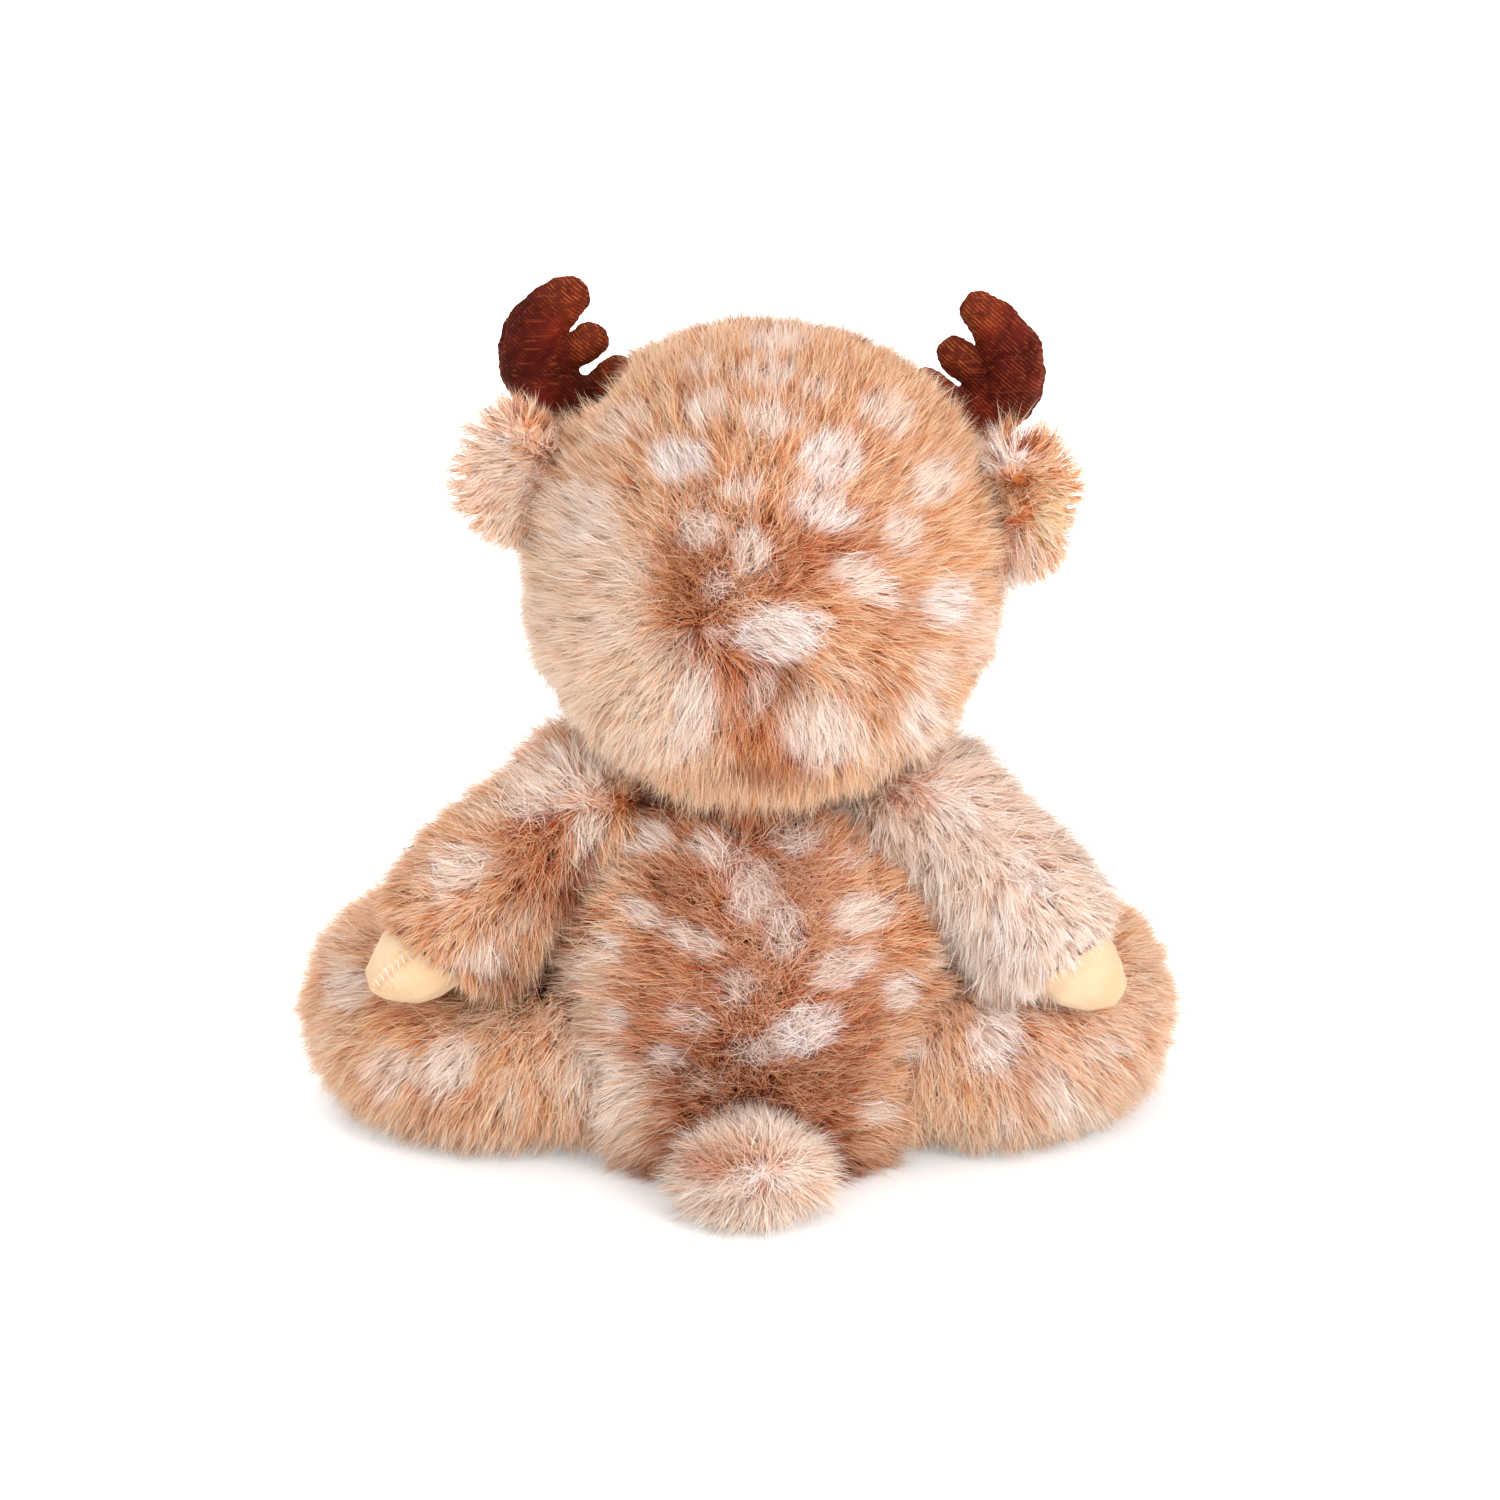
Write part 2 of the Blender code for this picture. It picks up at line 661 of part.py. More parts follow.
def build_eyes(materials, nod, head_form, skin, stuffing):
    size = (EYE_RADIUS, EYE_DOME_HEIGHT, EYE_SINK, FUR_CLOTH, 1)
    middle = Vector((HEAD_SHIFT, 0, HEAD_RISE + HEAD_HEIGHT * HEAD_MIDDLE_SHARE))
    rise = math.radians(EYE_RISE_DEG)
    for side, sign in SIDES.items():
        spread = math.radians(EYE_SPREAD_DEG) * sign
        level = math.cos(rise)
        out = Vector((math.sin(spread) * level, -math.cos(spread) * level, math.sin(rise)))
        place, _ = surface_hit(head_form, middle, out)
        build_button(f"eye_{side}", place, out, size, materials, nod, (skin, stuffing))


def seam_frame(head_form, plane, rise_deg, sign, standoff):
    """A frame on the head's side: X faces out, Y runs along the seam and Z faces the toy's front."""
    middle = Vector((HEAD_SHIFT, plane, HEAD_RISE + HEAD_HEIGHT * HEAD_MIDDLE_SHARE))
    rise = math.radians(rise_deg)
    out = Vector((sign * math.cos(rise), 0, math.sin(rise)))
    place, _ = surface_hit(head_form, middle, out)
    along = Vector((0, -1, 0)).cross(out)
    front = Vector((0, -1, 0))
    centre = place + out * standoff
    return Matrix.Translation(centre) @ Matrix((out, along, front)).transposed().to_4x4()


def hinged_edge(name, frame, nod):
    """An empty on the seam line that a flat sewn-on piece bends about."""
    empty = pivot(name, (0, 0, 0), nod)
    empty.matrix_local = frame
    bpy.context.view_layer.update()
    return empty


def seam_groove(name, half_length, bevel, extrude, parent):
    """Cutter for the groove in which the rolled edge of a flat piece turns."""
    corner = math.hypot(extrude, extrude) + bevel
    end = half_length + SEAM_GAP
    return as_cutter(rod(name, corner + SEAM_GAP, (0, -end, 0), (0, end, 0), BUTTON_STEPS), parent)


def build_ears(materials, nod, head_form, skin):
    half_thickness = EAR_BEVEL + EAR_EXTRUDE
    for side, sign in SIDES.items():
        rise_deg = EAR_RISE_DEG + EAR_OFFSET_DEG[side]
        frame = seam_frame(head_form, EAR_PLANE, rise_deg, sign, half_thickness / 2)
        hinge = hinged_edge(f"ear_{side}_fold", frame, nod)
        outline = [(out * EAR_REACH, sign * along * EAR_REACH) for out, along in EAR_OUTLINE_SHARES]
        outline[0] = (-half_thickness, outline[0][1])
        outline[-1] = (-half_thickness, outline[-1][1])
        ear = outline_plate(f"ear_{side}", outline, EAR_BEVEL, EAR_EXTRUDE)
        as_part(ear, materials["fur"], hinge)
        half_seam = abs(EAR_OUTLINE_SHARES[0][1]) * EAR_REACH
        boolean(skin, seam_groove(f"ear_{side}_groove", half_seam, EAR_BEVEL, EAR_EXTRUDE, hinge))
        reach = EAR_REACH * EAR_LINING_SHARE
        shift = EAR_REACH * EAR_LINING_SHIFT_SHARE
        inner = [(out * reach + shift, sign * along * reach) for out, along in EAR_OUTLINE_SHARES[1:-1]]
        lining = outline_plate(f"ear_lining_{side}", inner, EAR_LINING_BEVEL, EAR_LINING_EXTRUDE)
        rise = half_thickness + STUFFING_GAP + EAR_LINING_BEVEL + EAR_LINING_EXTRUDE
        lining.data.transform(Matrix.Translation((0, 0, rise)))
        as_part(lining, materials["lining"], hinge)


def antler_stations(shares, sign, growth):
    """A tine's rounded stations in the antler's frame, from shares of its reach and radius."""
    rows = [
        (out * ANTLER_REACH, sign * along * ANTLER_REACH, 0, radius * ANTLER_RADIUS + growth)
        for out, along, radius in shares
    ]
    return tipped(rows)


def antler_form(name, sign, growth, bevel_resolution, hinge):
    """The beam with its two tines and its rolled root, joined, with the surface moved by the growth."""
    flat = Matrix.Diagonal((1, 1, ANTLER_FLATNESS, 1))
    kinds = {
        "beam": ANTLER_BEAM_SHARES,
        "middle": ANTLER_MIDDLE_TINE_SHARES,
        "inner": ANTLER_INNER_TINE_SHARES,
    }
    pieces = []
    for kind, shares in kinds.items():
        stations = antler_stations(shares, sign, growth / ANTLER_FLATNESS)
        piece = tube(f"{name}_{kind}", stations, ANTLER_RADIUS, bevel_resolution)
        piece.data.transform(flat)
        pieces.append(piece)
    length = ANTLER_BEAM_SHARES[0][2] * ANTLER_RADIUS
    root = length * ANTLER_FLATNESS + growth
    radii = (root, length + growth, root)
    pieces.append(ellipsoid(f"{name}_root", radii, (0, 0, 0), SMALL_BALL_SEGMENTS))
    whole = pieces[0]
    for piece in pieces[1:]:
        boolean(whole, as_cutter(piece, hinge), "UNION")
    return whole


def build_antlers(materials, nod, head_form, skin, head_stuffing):
    cloth = VELVET_CLOTH
    fine = ANTLER_CORE_BEVEL_RESOLUTION
    for side, sign in SIDES.items():
        rise_deg = ANTLER_RISE_DEG[side]
        frame = seam_frame(head_form, ANTLER_PLANE, rise_deg, sign, ANTLER_STANDOFF[side])
        hinge = hinged_edge(f"antler_{side}_bend", frame, nod)
        velvet = antler_form(f"antler_{side}", sign, 0, ANTLER_BEVEL_RESOLUTION, hinge)
        as_part(velvet, materials["velvet"], hinge)
        velvet.name = f"antler_{side}"
        inside = antler_form(f"antler_{side}_inside", sign, -cloth, fine, hinge)
        boolean(velvet, as_cutter(inside, hinge))
        stuffing = antler_form(f"antler_stuffing_{side}", sign, -cloth - STUFFING_GAP, fine, hinge)
        as_part(stuffing, materials["stuffing"], hinge)
        stuffing.name = f"antler_stuffing_{side}"
        length = ANTLER_BEAM_SHARES[0][2] * ANTLER_RADIUS
        root = length * ANTLER_FLATNESS
        start = (-root - CUT_OVERRUN, 0, 0)
        hole = rod(f"antler_{side}_hole", root * ANTLER_HOLE_SHARE, start, (0, 0, 0), BUTTON_STEPS)
        boolean(velvet, as_cutter(hole, hinge))
        free = root + SEAM_GAP
        room = (free, length + SEAM_GAP, free)
        pocket = ellipsoid(f"antler_{side}_pocket", room, (0, 0, 0), SMALL_BALL_SEGMENTS)
        as_cutter(pocket, hinge)
        boolean(skin, pocket)
        boolean(head_stuffing, pocket)


def stuffing_hole(name, stations, root_radius, parent):
    """Cutter for the hole at a limb's root through which it is stuffed."""
    direction = (Vector(stations[1][:3]) - Vector(stations[0][:3])).normalized()
    centre = Vector(stations[0][:3])
    start = centre - direction * (root_radius + CUT_OVERRUN)
    hole = rod(name, root_radius * STUFFING_HOLE_SHARE, start, centre, BUTTON_STEPS)
    return as_cutter(hole, parent)


def build_limb(name, hoof_name, side, rows, radii, joint, materials, skin_cutter):
    """A fur limb with its stuffing and its suede hoof, all turning about the root."""
    fur_rows, hoof_rows = rows
    root_radius, nominal = radii
    cloth = FUR_CLOTH
    fur = smooth_row(fur_rows, LIMB_STEPS_PER_SPAN)
    outer = tube(f"{name}_{side}_form", rooted(fur, root_radius), nominal)
    core = rooted(with_growth(fur_rows[:-2], -cloth), root_radius - cloth)
    core = tipped(core + hoof_rows, HOOF_TIP_SHARE)
    skin = as_part(grown(outer, 0, f"{name}_{side}"), materials["fur"], joint)
    inside = as_cutter(tube(f"{name}_{side}_inside", core, nominal, CORE_BEVEL_RESOLUTION), joint)
    fill = with_growth(core, -STUFFING_GAP)
    stuffing = tube(f"{name}_stuffing_{side}", fill, nominal, CORE_BEVEL_RESOLUTION)
    as_part(stuffing, materials["stuffing"], joint)
    boolean(skin, inside)
    boolean(skin, stuffing_hole(f"{name}_{side}_hole", fur, root_radius, joint))
    boolean(skin, skin_cutter)
    shell = tipped(with_growth(hoof_rows, SUEDE_CLOTH), HOOF_TIP_SHARE)
    hoof = as_part(tube(f"{hoof_name}_{side}", shell, nominal), materials["suede"], joint)
    boolean(hoof, inside)
    boolean(hoof, as_cutter(grown(outer, STUFFING_GAP, f"{hoof_name}_{side}_edge"), joint))


def build_arms(materials, torso_form, torso_skin, torso_stuffing):
    rise = math.radians(SHOULDER_RISE_DEG)
    for side, sign in SIDES.items():
        out = Vector((sign * math.cos(rise), 0, math.sin(rise)))
        place, _ = surface_hit(torso_form, (0, SHOULDER_BACK, TORSO_HEIGHT - SHOULDER_DROP), out)
        shoulder = place + out * SHOULDER_STANDOFF
        droop = sign * math.radians(ARM_DROOP_DEG[side])
        joint = pivot(f"arm_{side}_lift", shoulder, None, droop)
        fur = limb_stations(ARM_SHARES, ARM_REACH, ARM_RADIUS, sign, 1)
        hoof = limb_stations(ARM_HOOF_SHARES, ARM_REACH, ARM_RADIUS, sign, 1)
        pocket = ball(f"arm_{side}_pocket", ARM_ROOT_RADIUS + SEAM_GAP, MIDDLE_BALL_SEGMENTS)
        as_cutter(pocket, joint)
        boolean(torso_skin, pocket)
        boolean(torso_stuffing, pocket)
        body = as_cutter(grown(torso_form, SEAM_GAP, f"arm_{side}_body_room"))
        root_room = ball(f"arm_{side}_root_room", ARM_ROOT_RADIUS + SEAM_GAP / 2)
        boolean(body, as_cutter(root_room, joint))
        radii = (ARM_ROOT_RADIUS, ARM_RADIUS)
        build_limb("arm", "hand_hoof", side, (fur, hoof), radii, joint, materials, body)


def build_legs(materials, torso_skin, torso_stuffing, block):
    for side, sign in SIDES.items():
        centre = Vector((sign * (TORSO_HALF_WIDTH - HIP_INSET), 0, LEG_RADIUS - FLOOR_FLAT))
        joint = pivot(f"leg_{side}_lift", centre)
        spread = LEG_SPREAD_SHARE[side]
        fur = limb_stations(LEG_SHARES, LEG_REACH, LEG_RADIUS, sign, -1, spread)
        hoof = limb_stations(LEG_HOOF_SHARES, LEG_REACH, LEG_RADIUS, sign, -1, spread)
        free = LEG_ROOT_RADIUS + SEAM_GAP
        pocket = as_cutter(ball(f"leg_{side}_pocket", free), joint)
        start = (sign * HIP_SLEEVE_START, 0, 0)
        end = (sign * (HIP_INSET + FUR_CLOTH), 0, 0)
        sleeve = rod(f"leg_{side}_sleeve", free - HIP_SLEEVE_EASE, start, end)
        for cutter in (pocket, as_cutter(sleeve, joint)):
            boolean(torso_skin, cutter)
            boolean(torso_stuffing, cutter)
        radii = (LEG_ROOT_RADIUS, LEG_RADIUS)
        build_limb("leg", "foot_hoof", side, (fur, hoof), radii, joint, materials, block)


def build_tail(materials, torso_form, torso_skin, torso_stuffing, block):
    place, _ = surface_hit(torso_form, (0, 0, TAIL_ROOT_HEIGHT), (0, 1, 0))
    joint = pivot("tail_wag", place + Vector((0, TAIL_ROOT_STANDOFF, 0)))
    centre = Vector((0, TAIL_REACH, TAIL_HALF_HEIGHT - FLOOR_FLAT - TAIL_ROOT_HEIGHT))
    radii = Vector((TAIL_HALF_WIDTH, TAIL_HALF_DEPTH, TAIL_HALF_HEIGHT))
    pom = ellipsoid("tail_form", radii, centre, MIDDLE_BALL_SEGMENTS)
    core = ellipsoid("tail_core", radii, centre, SMALL_BALL_SEGMENTS)
    cloth = FUR_CLOTH
    skin = as_part(grown(pom, 0, "tail"), materials["fur"], joint)
    boolean(skin, as_cutter(ball("tail_root", TAIL_ROOT_RADIUS, SMALL_BALL_SEGMENTS), joint), "UNION")
    boolean(skin, as_cutter(grown(core, -cloth, "tail_inside"), joint))
    start = (0, -TAIL_ROOT_RADIUS - CUT_OVERRUN, 0)
    throat = rod("tail_throat", TAIL_ROOT_RADIUS * STUFFING_HOLE_SHARE, start, centre, BUTTON_STEPS)
    boolean(skin, as_cutter(throat, joint))
    boolean(skin, block)
    stuffing = grown(core, -cloth - STUFFING_GAP, "tail_stuffing")
    as_part(stuffing, materials["stuffing"], joint)
    pocket = as_cutter(ball("tail_pocket", TAIL_ROOT_RADIUS + SEAM_GAP, SMALL_BALL_SEGMENTS), joint)
    boolean(torso_skin, pocket)
    boolean(torso_stuffing, pocket)


def main():
    global parts, cutters
    clear_scene()
    parts = new_collection("plush_deer")
    cutters = new_collection("cutters")
    materials = {
        "fur": new_material("fur", (0.62, 0.36, 0.20), 0.95),
        "plush": new_material("short_plush", (0.84, 0.68, 0.50), 0.95),
        "suede": new_material("suede", (0.85, 0.64, 0.36), 0.85),
        "lining": new_material("ear_lining", (0.86, 0.68, 0.42), 0.85),
        "velvet": new_material("velvet", (0.16, 0.025, 0.006), 0.6),
        "stuffing": new_material("polyester_stuffing", (0.90, 0.90, 0.88), 1.0),
        "pouch": new_material("pouch_cotton", (0.80, 0.76, 0.68), 0.9),
        "button": new_material("moulded_button", (0.010, 0.006, 0.004), 0.12),
        "washer": new_material("moulded_washer", (0.85, 0.85, 0.83), 0.4),
    }
    torso_form, torso_skin, torso_stuffing = build_torso(materials)
    nod, neck_pocket = build_neck(materials, torso_skin, torso_stuffing)
    build_arms(materials, torso_form, torso_skin, torso_stuffing)
    block = floor_block()
    build_legs(materials, torso_skin, torso_stuffing, block)
    build_tail(materials, torso_form, torso_skin, torso_stuffing, block)
    boolean(torso_skin, block)
    build_pellet_pouch(materials, torso_stuffing)
    head_form, head_skin, head_stuffing = build_head(materials, nod, neck_pocket)
    build_muzzle(materials, nod, head_form)
    build_eyes(materials, nod, head_form, head_skin, head_stuffing)
    build_ears(materials, nod, head_form, head_skin)
    build_antlers(materials, nod, head_form, head_skin, head_stuffing)
    for form in list(bpy.data.objects):
        if not form.users_collection:
            bpy.data.objects.remove(form)


main()
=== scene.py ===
"""Plush deer, seen from behind: soft skins made from the frame's solids, a pile of modelled fur,
velvet antlers, suede hooves, and a plain white studio. Lengths are in millimetres until a mesh is made."""

import json
import math
from collections import namedtuple

import bmesh
import bpy
import numpy as np
from mathutils import Matrix, Vector
from mathutils.bvhtree import BVHTree
from mathutils.kdtree import KDTree


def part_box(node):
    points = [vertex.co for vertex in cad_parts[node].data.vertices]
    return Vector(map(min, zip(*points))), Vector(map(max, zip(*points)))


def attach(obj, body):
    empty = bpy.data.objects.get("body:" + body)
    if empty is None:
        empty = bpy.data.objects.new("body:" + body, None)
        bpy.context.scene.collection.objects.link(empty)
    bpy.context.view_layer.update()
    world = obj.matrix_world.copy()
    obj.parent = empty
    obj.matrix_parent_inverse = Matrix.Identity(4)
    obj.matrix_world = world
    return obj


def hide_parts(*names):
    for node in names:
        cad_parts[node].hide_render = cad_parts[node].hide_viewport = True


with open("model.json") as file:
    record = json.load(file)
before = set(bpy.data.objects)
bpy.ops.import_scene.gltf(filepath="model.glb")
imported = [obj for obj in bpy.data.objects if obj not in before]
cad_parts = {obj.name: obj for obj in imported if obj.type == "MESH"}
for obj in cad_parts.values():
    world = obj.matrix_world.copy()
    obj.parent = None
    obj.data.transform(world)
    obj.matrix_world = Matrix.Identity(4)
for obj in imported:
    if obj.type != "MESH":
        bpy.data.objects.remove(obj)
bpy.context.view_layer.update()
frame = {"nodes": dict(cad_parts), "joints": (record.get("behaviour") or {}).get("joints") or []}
nodes = frame["nodes"]
SIDES = ("left", "right")
MM = 1000.0  # millimetres in a metre

# The camera of the photograph, behind the toy and above it
DISTANCE = 1400.0
ELEVATION = math.radians(17.5)
TARGET = np.array([0.0, 0.0, 124.0])
FOCAL_PX = 4760.0
IMAGE_PX = 1500.0
TO_CAMERA = np.array([0.0, math.cos(ELEVATION), math.sin(ELEVATION)])
ACROSS = np.array([-1.0, 0.0, 0.0])
UPWARD = np.array([0.0, -math.sin(ELEVATION), math.cos(ELEVATION)])

PILE_SHARE = 1.0
PILE_WIDENING = 1.0
MOST_STRANDS = 60000  # in one mesh


def linear(r, g, b):
    """An sRGB colour from 0 to 255 as a linear one."""
    c = np.array([r, g, b]) / 255.0
    return np.where(c <= 0.04045, c / 12.92, ((c + 0.055) / 1.055) ** 2.4)


COLOURS = {
    "cream": linear(250, 227, 210),
    "white": linear(252, 236, 227),
    "peach": linear(252, 218, 190),
    "straw": linear(246, 214, 170),
    "beige": linear(240, 200, 165),
    "tan": linear(234, 173, 122),
    "orange": linear(232, 163, 110),
    "rust": linear(192, 92, 38),
    "brown": linear(144, 58, 22),
    # Painted shadow, below the left arm on the top of the leg
    "dusk": linear(132, 74, 42),
}


def seen(points):
    """Where points in millimetres fall in the 1500 px frame of the photograph's camera."""
    offset = points - TARGET
    depth = DISTANCE - offset @ TO_CAMERA
    x = IMAGE_PX / 2 + FOCAL_PX * (offset @ ACROSS) / depth
    y = IMAGE_PX / 2 - FOCAL_PX * (offset @ UPWARD) / depth
    return np.stack([x, y], axis=-1)


def deepened(colour, power):
    """A linear colour made darker and richer by a power over 1, or paler by one under 1."""
    return np.clip(colour, 0.0, 1.0) ** power


def mixed(first, second, share):
    """The first where the share is 0, the second where it is 1."""
    return first * (1 - share) + second * share


def unit(vectors):
    return vectors / np.maximum(np.linalg.norm(vectors, axis=-1, keepdims=True), 1e-9)


def flattened(vectors, normals):
    """The vectors without the share of them that stands up from the surface."""
    return vectors - (vectors * normals).sum(-1, keepdims=True) * normals


def smoothstep(low, high, value):
    t = np.clip((value - low) / (high - low), 0.0, 1.0)
    return t * t * (3 - 2 * t)


def ridge(far, width):
    """A rounded bump: 1 where far is 0, and fading over the width."""
    return np.exp(-((far / width) ** 2))


def wander(points, scale, seed):
    """A smooth vector noise between about -1 and 1, changing over scale millimetres."""
    rng = np.random.default_rng(seed)
    total = np.zeros((len(points), 3))
    for octave in range(5):
        wave = rng.normal(size=(3, 3)) * (2 * math.pi / scale) * (0.5 + 0.35 * octave)
        phase = rng.uniform(0, 2 * math.pi, 3)
        total += np.sin(points @ wave + phase)
    return total / 2.6


def rows(text):
    """A table from text with a row on each line. A word in a row is the name of a colour."""
    lines = text.strip().split("\n")
    return [[word if word.isalpha() else float(word) for word in line.split()] for line in lines]


# Soft skins


def linked(name, data):
    """A new object with this data, in the scene."""
    obj = bpy.data.objects.new(name, data)
    bpy.context.scene.collection.objects.link(obj)
    return obj


def released(name, shape):
    """A new object with the mesh of this bmesh, which is then freed."""
    mesh = bpy.data.meshes.new(name)
    shape.to_mesh(mesh)
    shape.free()
    return linked(name, mesh)


def covered_with(obj, material):
    """The object with this material alone."""
    obj.data.materials.clear()
    obj.data.materials.append(material)
    return obj


def one_skin(obj, voxel, rounds):
    """The object remeshed as one closed surface, then evened out."""
    remesh = obj.modifiers.new("one skin", "REMESH")
    remesh.mode = "VOXEL"
    remesh.voxel_size = voxel / MM
    remesh.use_smooth_shade = True
    even = obj.modifiers.new("even", "SMOOTH")
    even.factor = 0.5
    even.iterations = rounds
    graph = bpy.context.evaluated_depsgraph_get()
    mesh = bpy.data.meshes.new_from_object(obj.evaluated_get(graph))
    obj.modifiers.clear()
    obj.data = mesh
    return obj


def soft_copy(name, sources, voxel, rounds):
    """One closed soft surface round these CAD nodes, with their seams and gaps closed over."""
    joined = bmesh.new()
    for source in sources:
        joined.from_mesh(nodes[source].data)
    return one_skin(released(name, joined), voxel, rounds)


def triples(items, attribute, kind):
    """This attribute of the items, as rows of three."""
    values = np.empty(len(items) * 3, kind)
    items.foreach_get(attribute, values)
    return values.reshape(-1, 3)


def arrays(obj):
    """(vertices in mm, triangles, vertex normals) of a mesh object."""
    mesh = obj.data
    mesh.calc_loop_triangles()
    points = triples(mesh.vertices, "co", np.float32).astype(float) * MM
    normals = triples(mesh.vertex_normals, "vector", np.float32).astype(float)
    return points, triples(mesh.loop_triangles, "vertices", np.int32), normals


def put_points(obj, points):
    obj.data.vertices.foreach_set("co", (points / MM).astype(np.float32).ravel())
    obj.data.update()


def paint_points(mesh, layer_name, colours):
    """One colour for each vertex of the mesh, in a layer of this name."""
    layer = mesh.color_attributes.new(layer_name, "FLOAT_COLOR", "POINT")
    rgba = np.ones((len(mesh.vertices), 4), np.float32)
    rgba[:, :3] = colours
    layer.data.foreach_set("color", rgba.ravel())


# Where the stuffing is fuller than the CAD form: x, y, z, radius, swell in mm
SWELLS = {
    "head": [(50, 0, 147, 26, 1.5)],
    "torso": [
        (47, 6, 80, 34, 6.0), (-51, 6, 76, 36, 9.5), (46, 4, 112, 22, 4.0), (-48, 4, 112, 24, 4.0),
        (28, -12, 110, 20, 4.0), (-30, -12, 110, 20, 4.0),
    ],
    "arm_left": [(48, 0, 120, 24, 6.5), (70, 12, 58, 24, 5.0), (54, 10, 72, 22, 6.0)],
    "arm_right": [(-54, 0, 118, 26, 5.5), (-72, 12, 58, 24, 4.0), (-56, 10, 72, 22, 4.0)],
    "leg_left": [(58, 14, 52, 26, 3.5)],
    "leg_right": [(-58, 14, 52, 26, 3.5)],
    "ear_left": [(62, 13, 222, 13, 1.6)],
    "ear_right": [(-72, 13, 214, 14, 2.4)],
}
SKIN_DEPTH = 3.2  # how far the big skins lie under the solids' surface, to leave room for the pile
SKIN_FLOOR = 1.2  # how high the pile holds the skins above the floor
SMOOTH_BEFORE, SMOOTH_AFTER = 4, 6  # rounds of smoothing, before and after a skin is drawn in


def shrunk(obj, depth, voxel, swells):
    """Draws the skin in by depth along its normals, so that the pile starts inside the solid's surface."""
    points, _, normals = arrays(obj)
    depth = np.full(len(points), depth)
    for x, y, z, radius, swell in swells:
        far = np.linalg.norm(points - np.array([x, y, z]), axis=1) / radius
        depth -= swell * (1 - smoothstep(0.3, 1.0, far))
    points = points - normals * depth[:, None]
    points[:, 2] = np.maximum(points[:, 2], SKIN_FLOOR)
    put_points(obj, points)
    return one_skin(obj, voxel, SMOOTH_AFTER)


# part: (nodes that its skin stands for, nodes that only go away with it, voxel, depth)
SKINS = {
    "head": (["head_skin", "head_stuffing"], ["eye_left_washer", "eye_right_washer"], 2.0, SKIN_DEPTH),
    "torso": (["torso_skin", "torso_stuffing"], ["pellet_pouch"], 2.0, SKIN_DEPTH),
    "tail": (["tail", "tail_stuffing"], [], 1.6, 5.0),
    "neck": (["neck_stuffing"], [], 1.6, 0.8),
    "muzzle": (["muzzle_skin", "muzzle_stuffing"], ["nose_washer"], 1.6, 1.0),
}
for side in SIDES:
    SKINS[f"arm_{side}"] = ([f"arm_{side}", f"arm_stuffing_{side}"], [], 1.6, 2.6)
    SKINS[f"leg_{side}"] = ([f"leg_{side}", f"leg_stuffing_{side}"], [], 2.0, SKIN_DEPTH)
    SKINS[f"ear_{side}"] = ([f"ear_{side}"], [], 1.0, 1.4)


def body_of(part):
    return "head" if part == "muzzle" else part


def wrapped(obj):
    points, faces, _ = arrays(obj)
    return BVHTree.FromPolygons([Vector(p) for p in points], [tuple(f) for f in faces.tolist()])


RAY = Vector((0.0137, 0.0291, 1.0)).normalized()  # nearly upward, and along no edge of a mesh
RAY_STEP = 0.01  # past each crossing


def inside(solid, points, margin):
    """True for each point that lies inside the closed surface, or within margin of it."""
    tree, low, high = solid
    found = np.zeros(len(points), bool)
    close = ((points > low - margin) & (points < high + margin)).all(1)
    for i in np.nonzero(close)[0]:
        point = Vector(points[i])
        if tree.find_nearest(point, margin)[0] is not None:
            found[i] = True
            continue
        crossings = 0
        hit = tree.ray_cast(point, RAY)[0]
        while hit is not None:
            crossings += 1
            hit = tree.ray_cast(hit + RAY * RAY_STEP, RAY)[0]
        found[i] = crossings % 2 == 1
    return found


def solid(obj):
    """What inside() needs of a closed mesh object."""
    points, _, _ = arrays(obj)
    return wrapped(obj), points.min(0), points.max(0)


def box_mm(node):
    """The low and the high corner of a node's box, in millimetres."""
    return (np.array(corner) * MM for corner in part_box(node))


# Materials


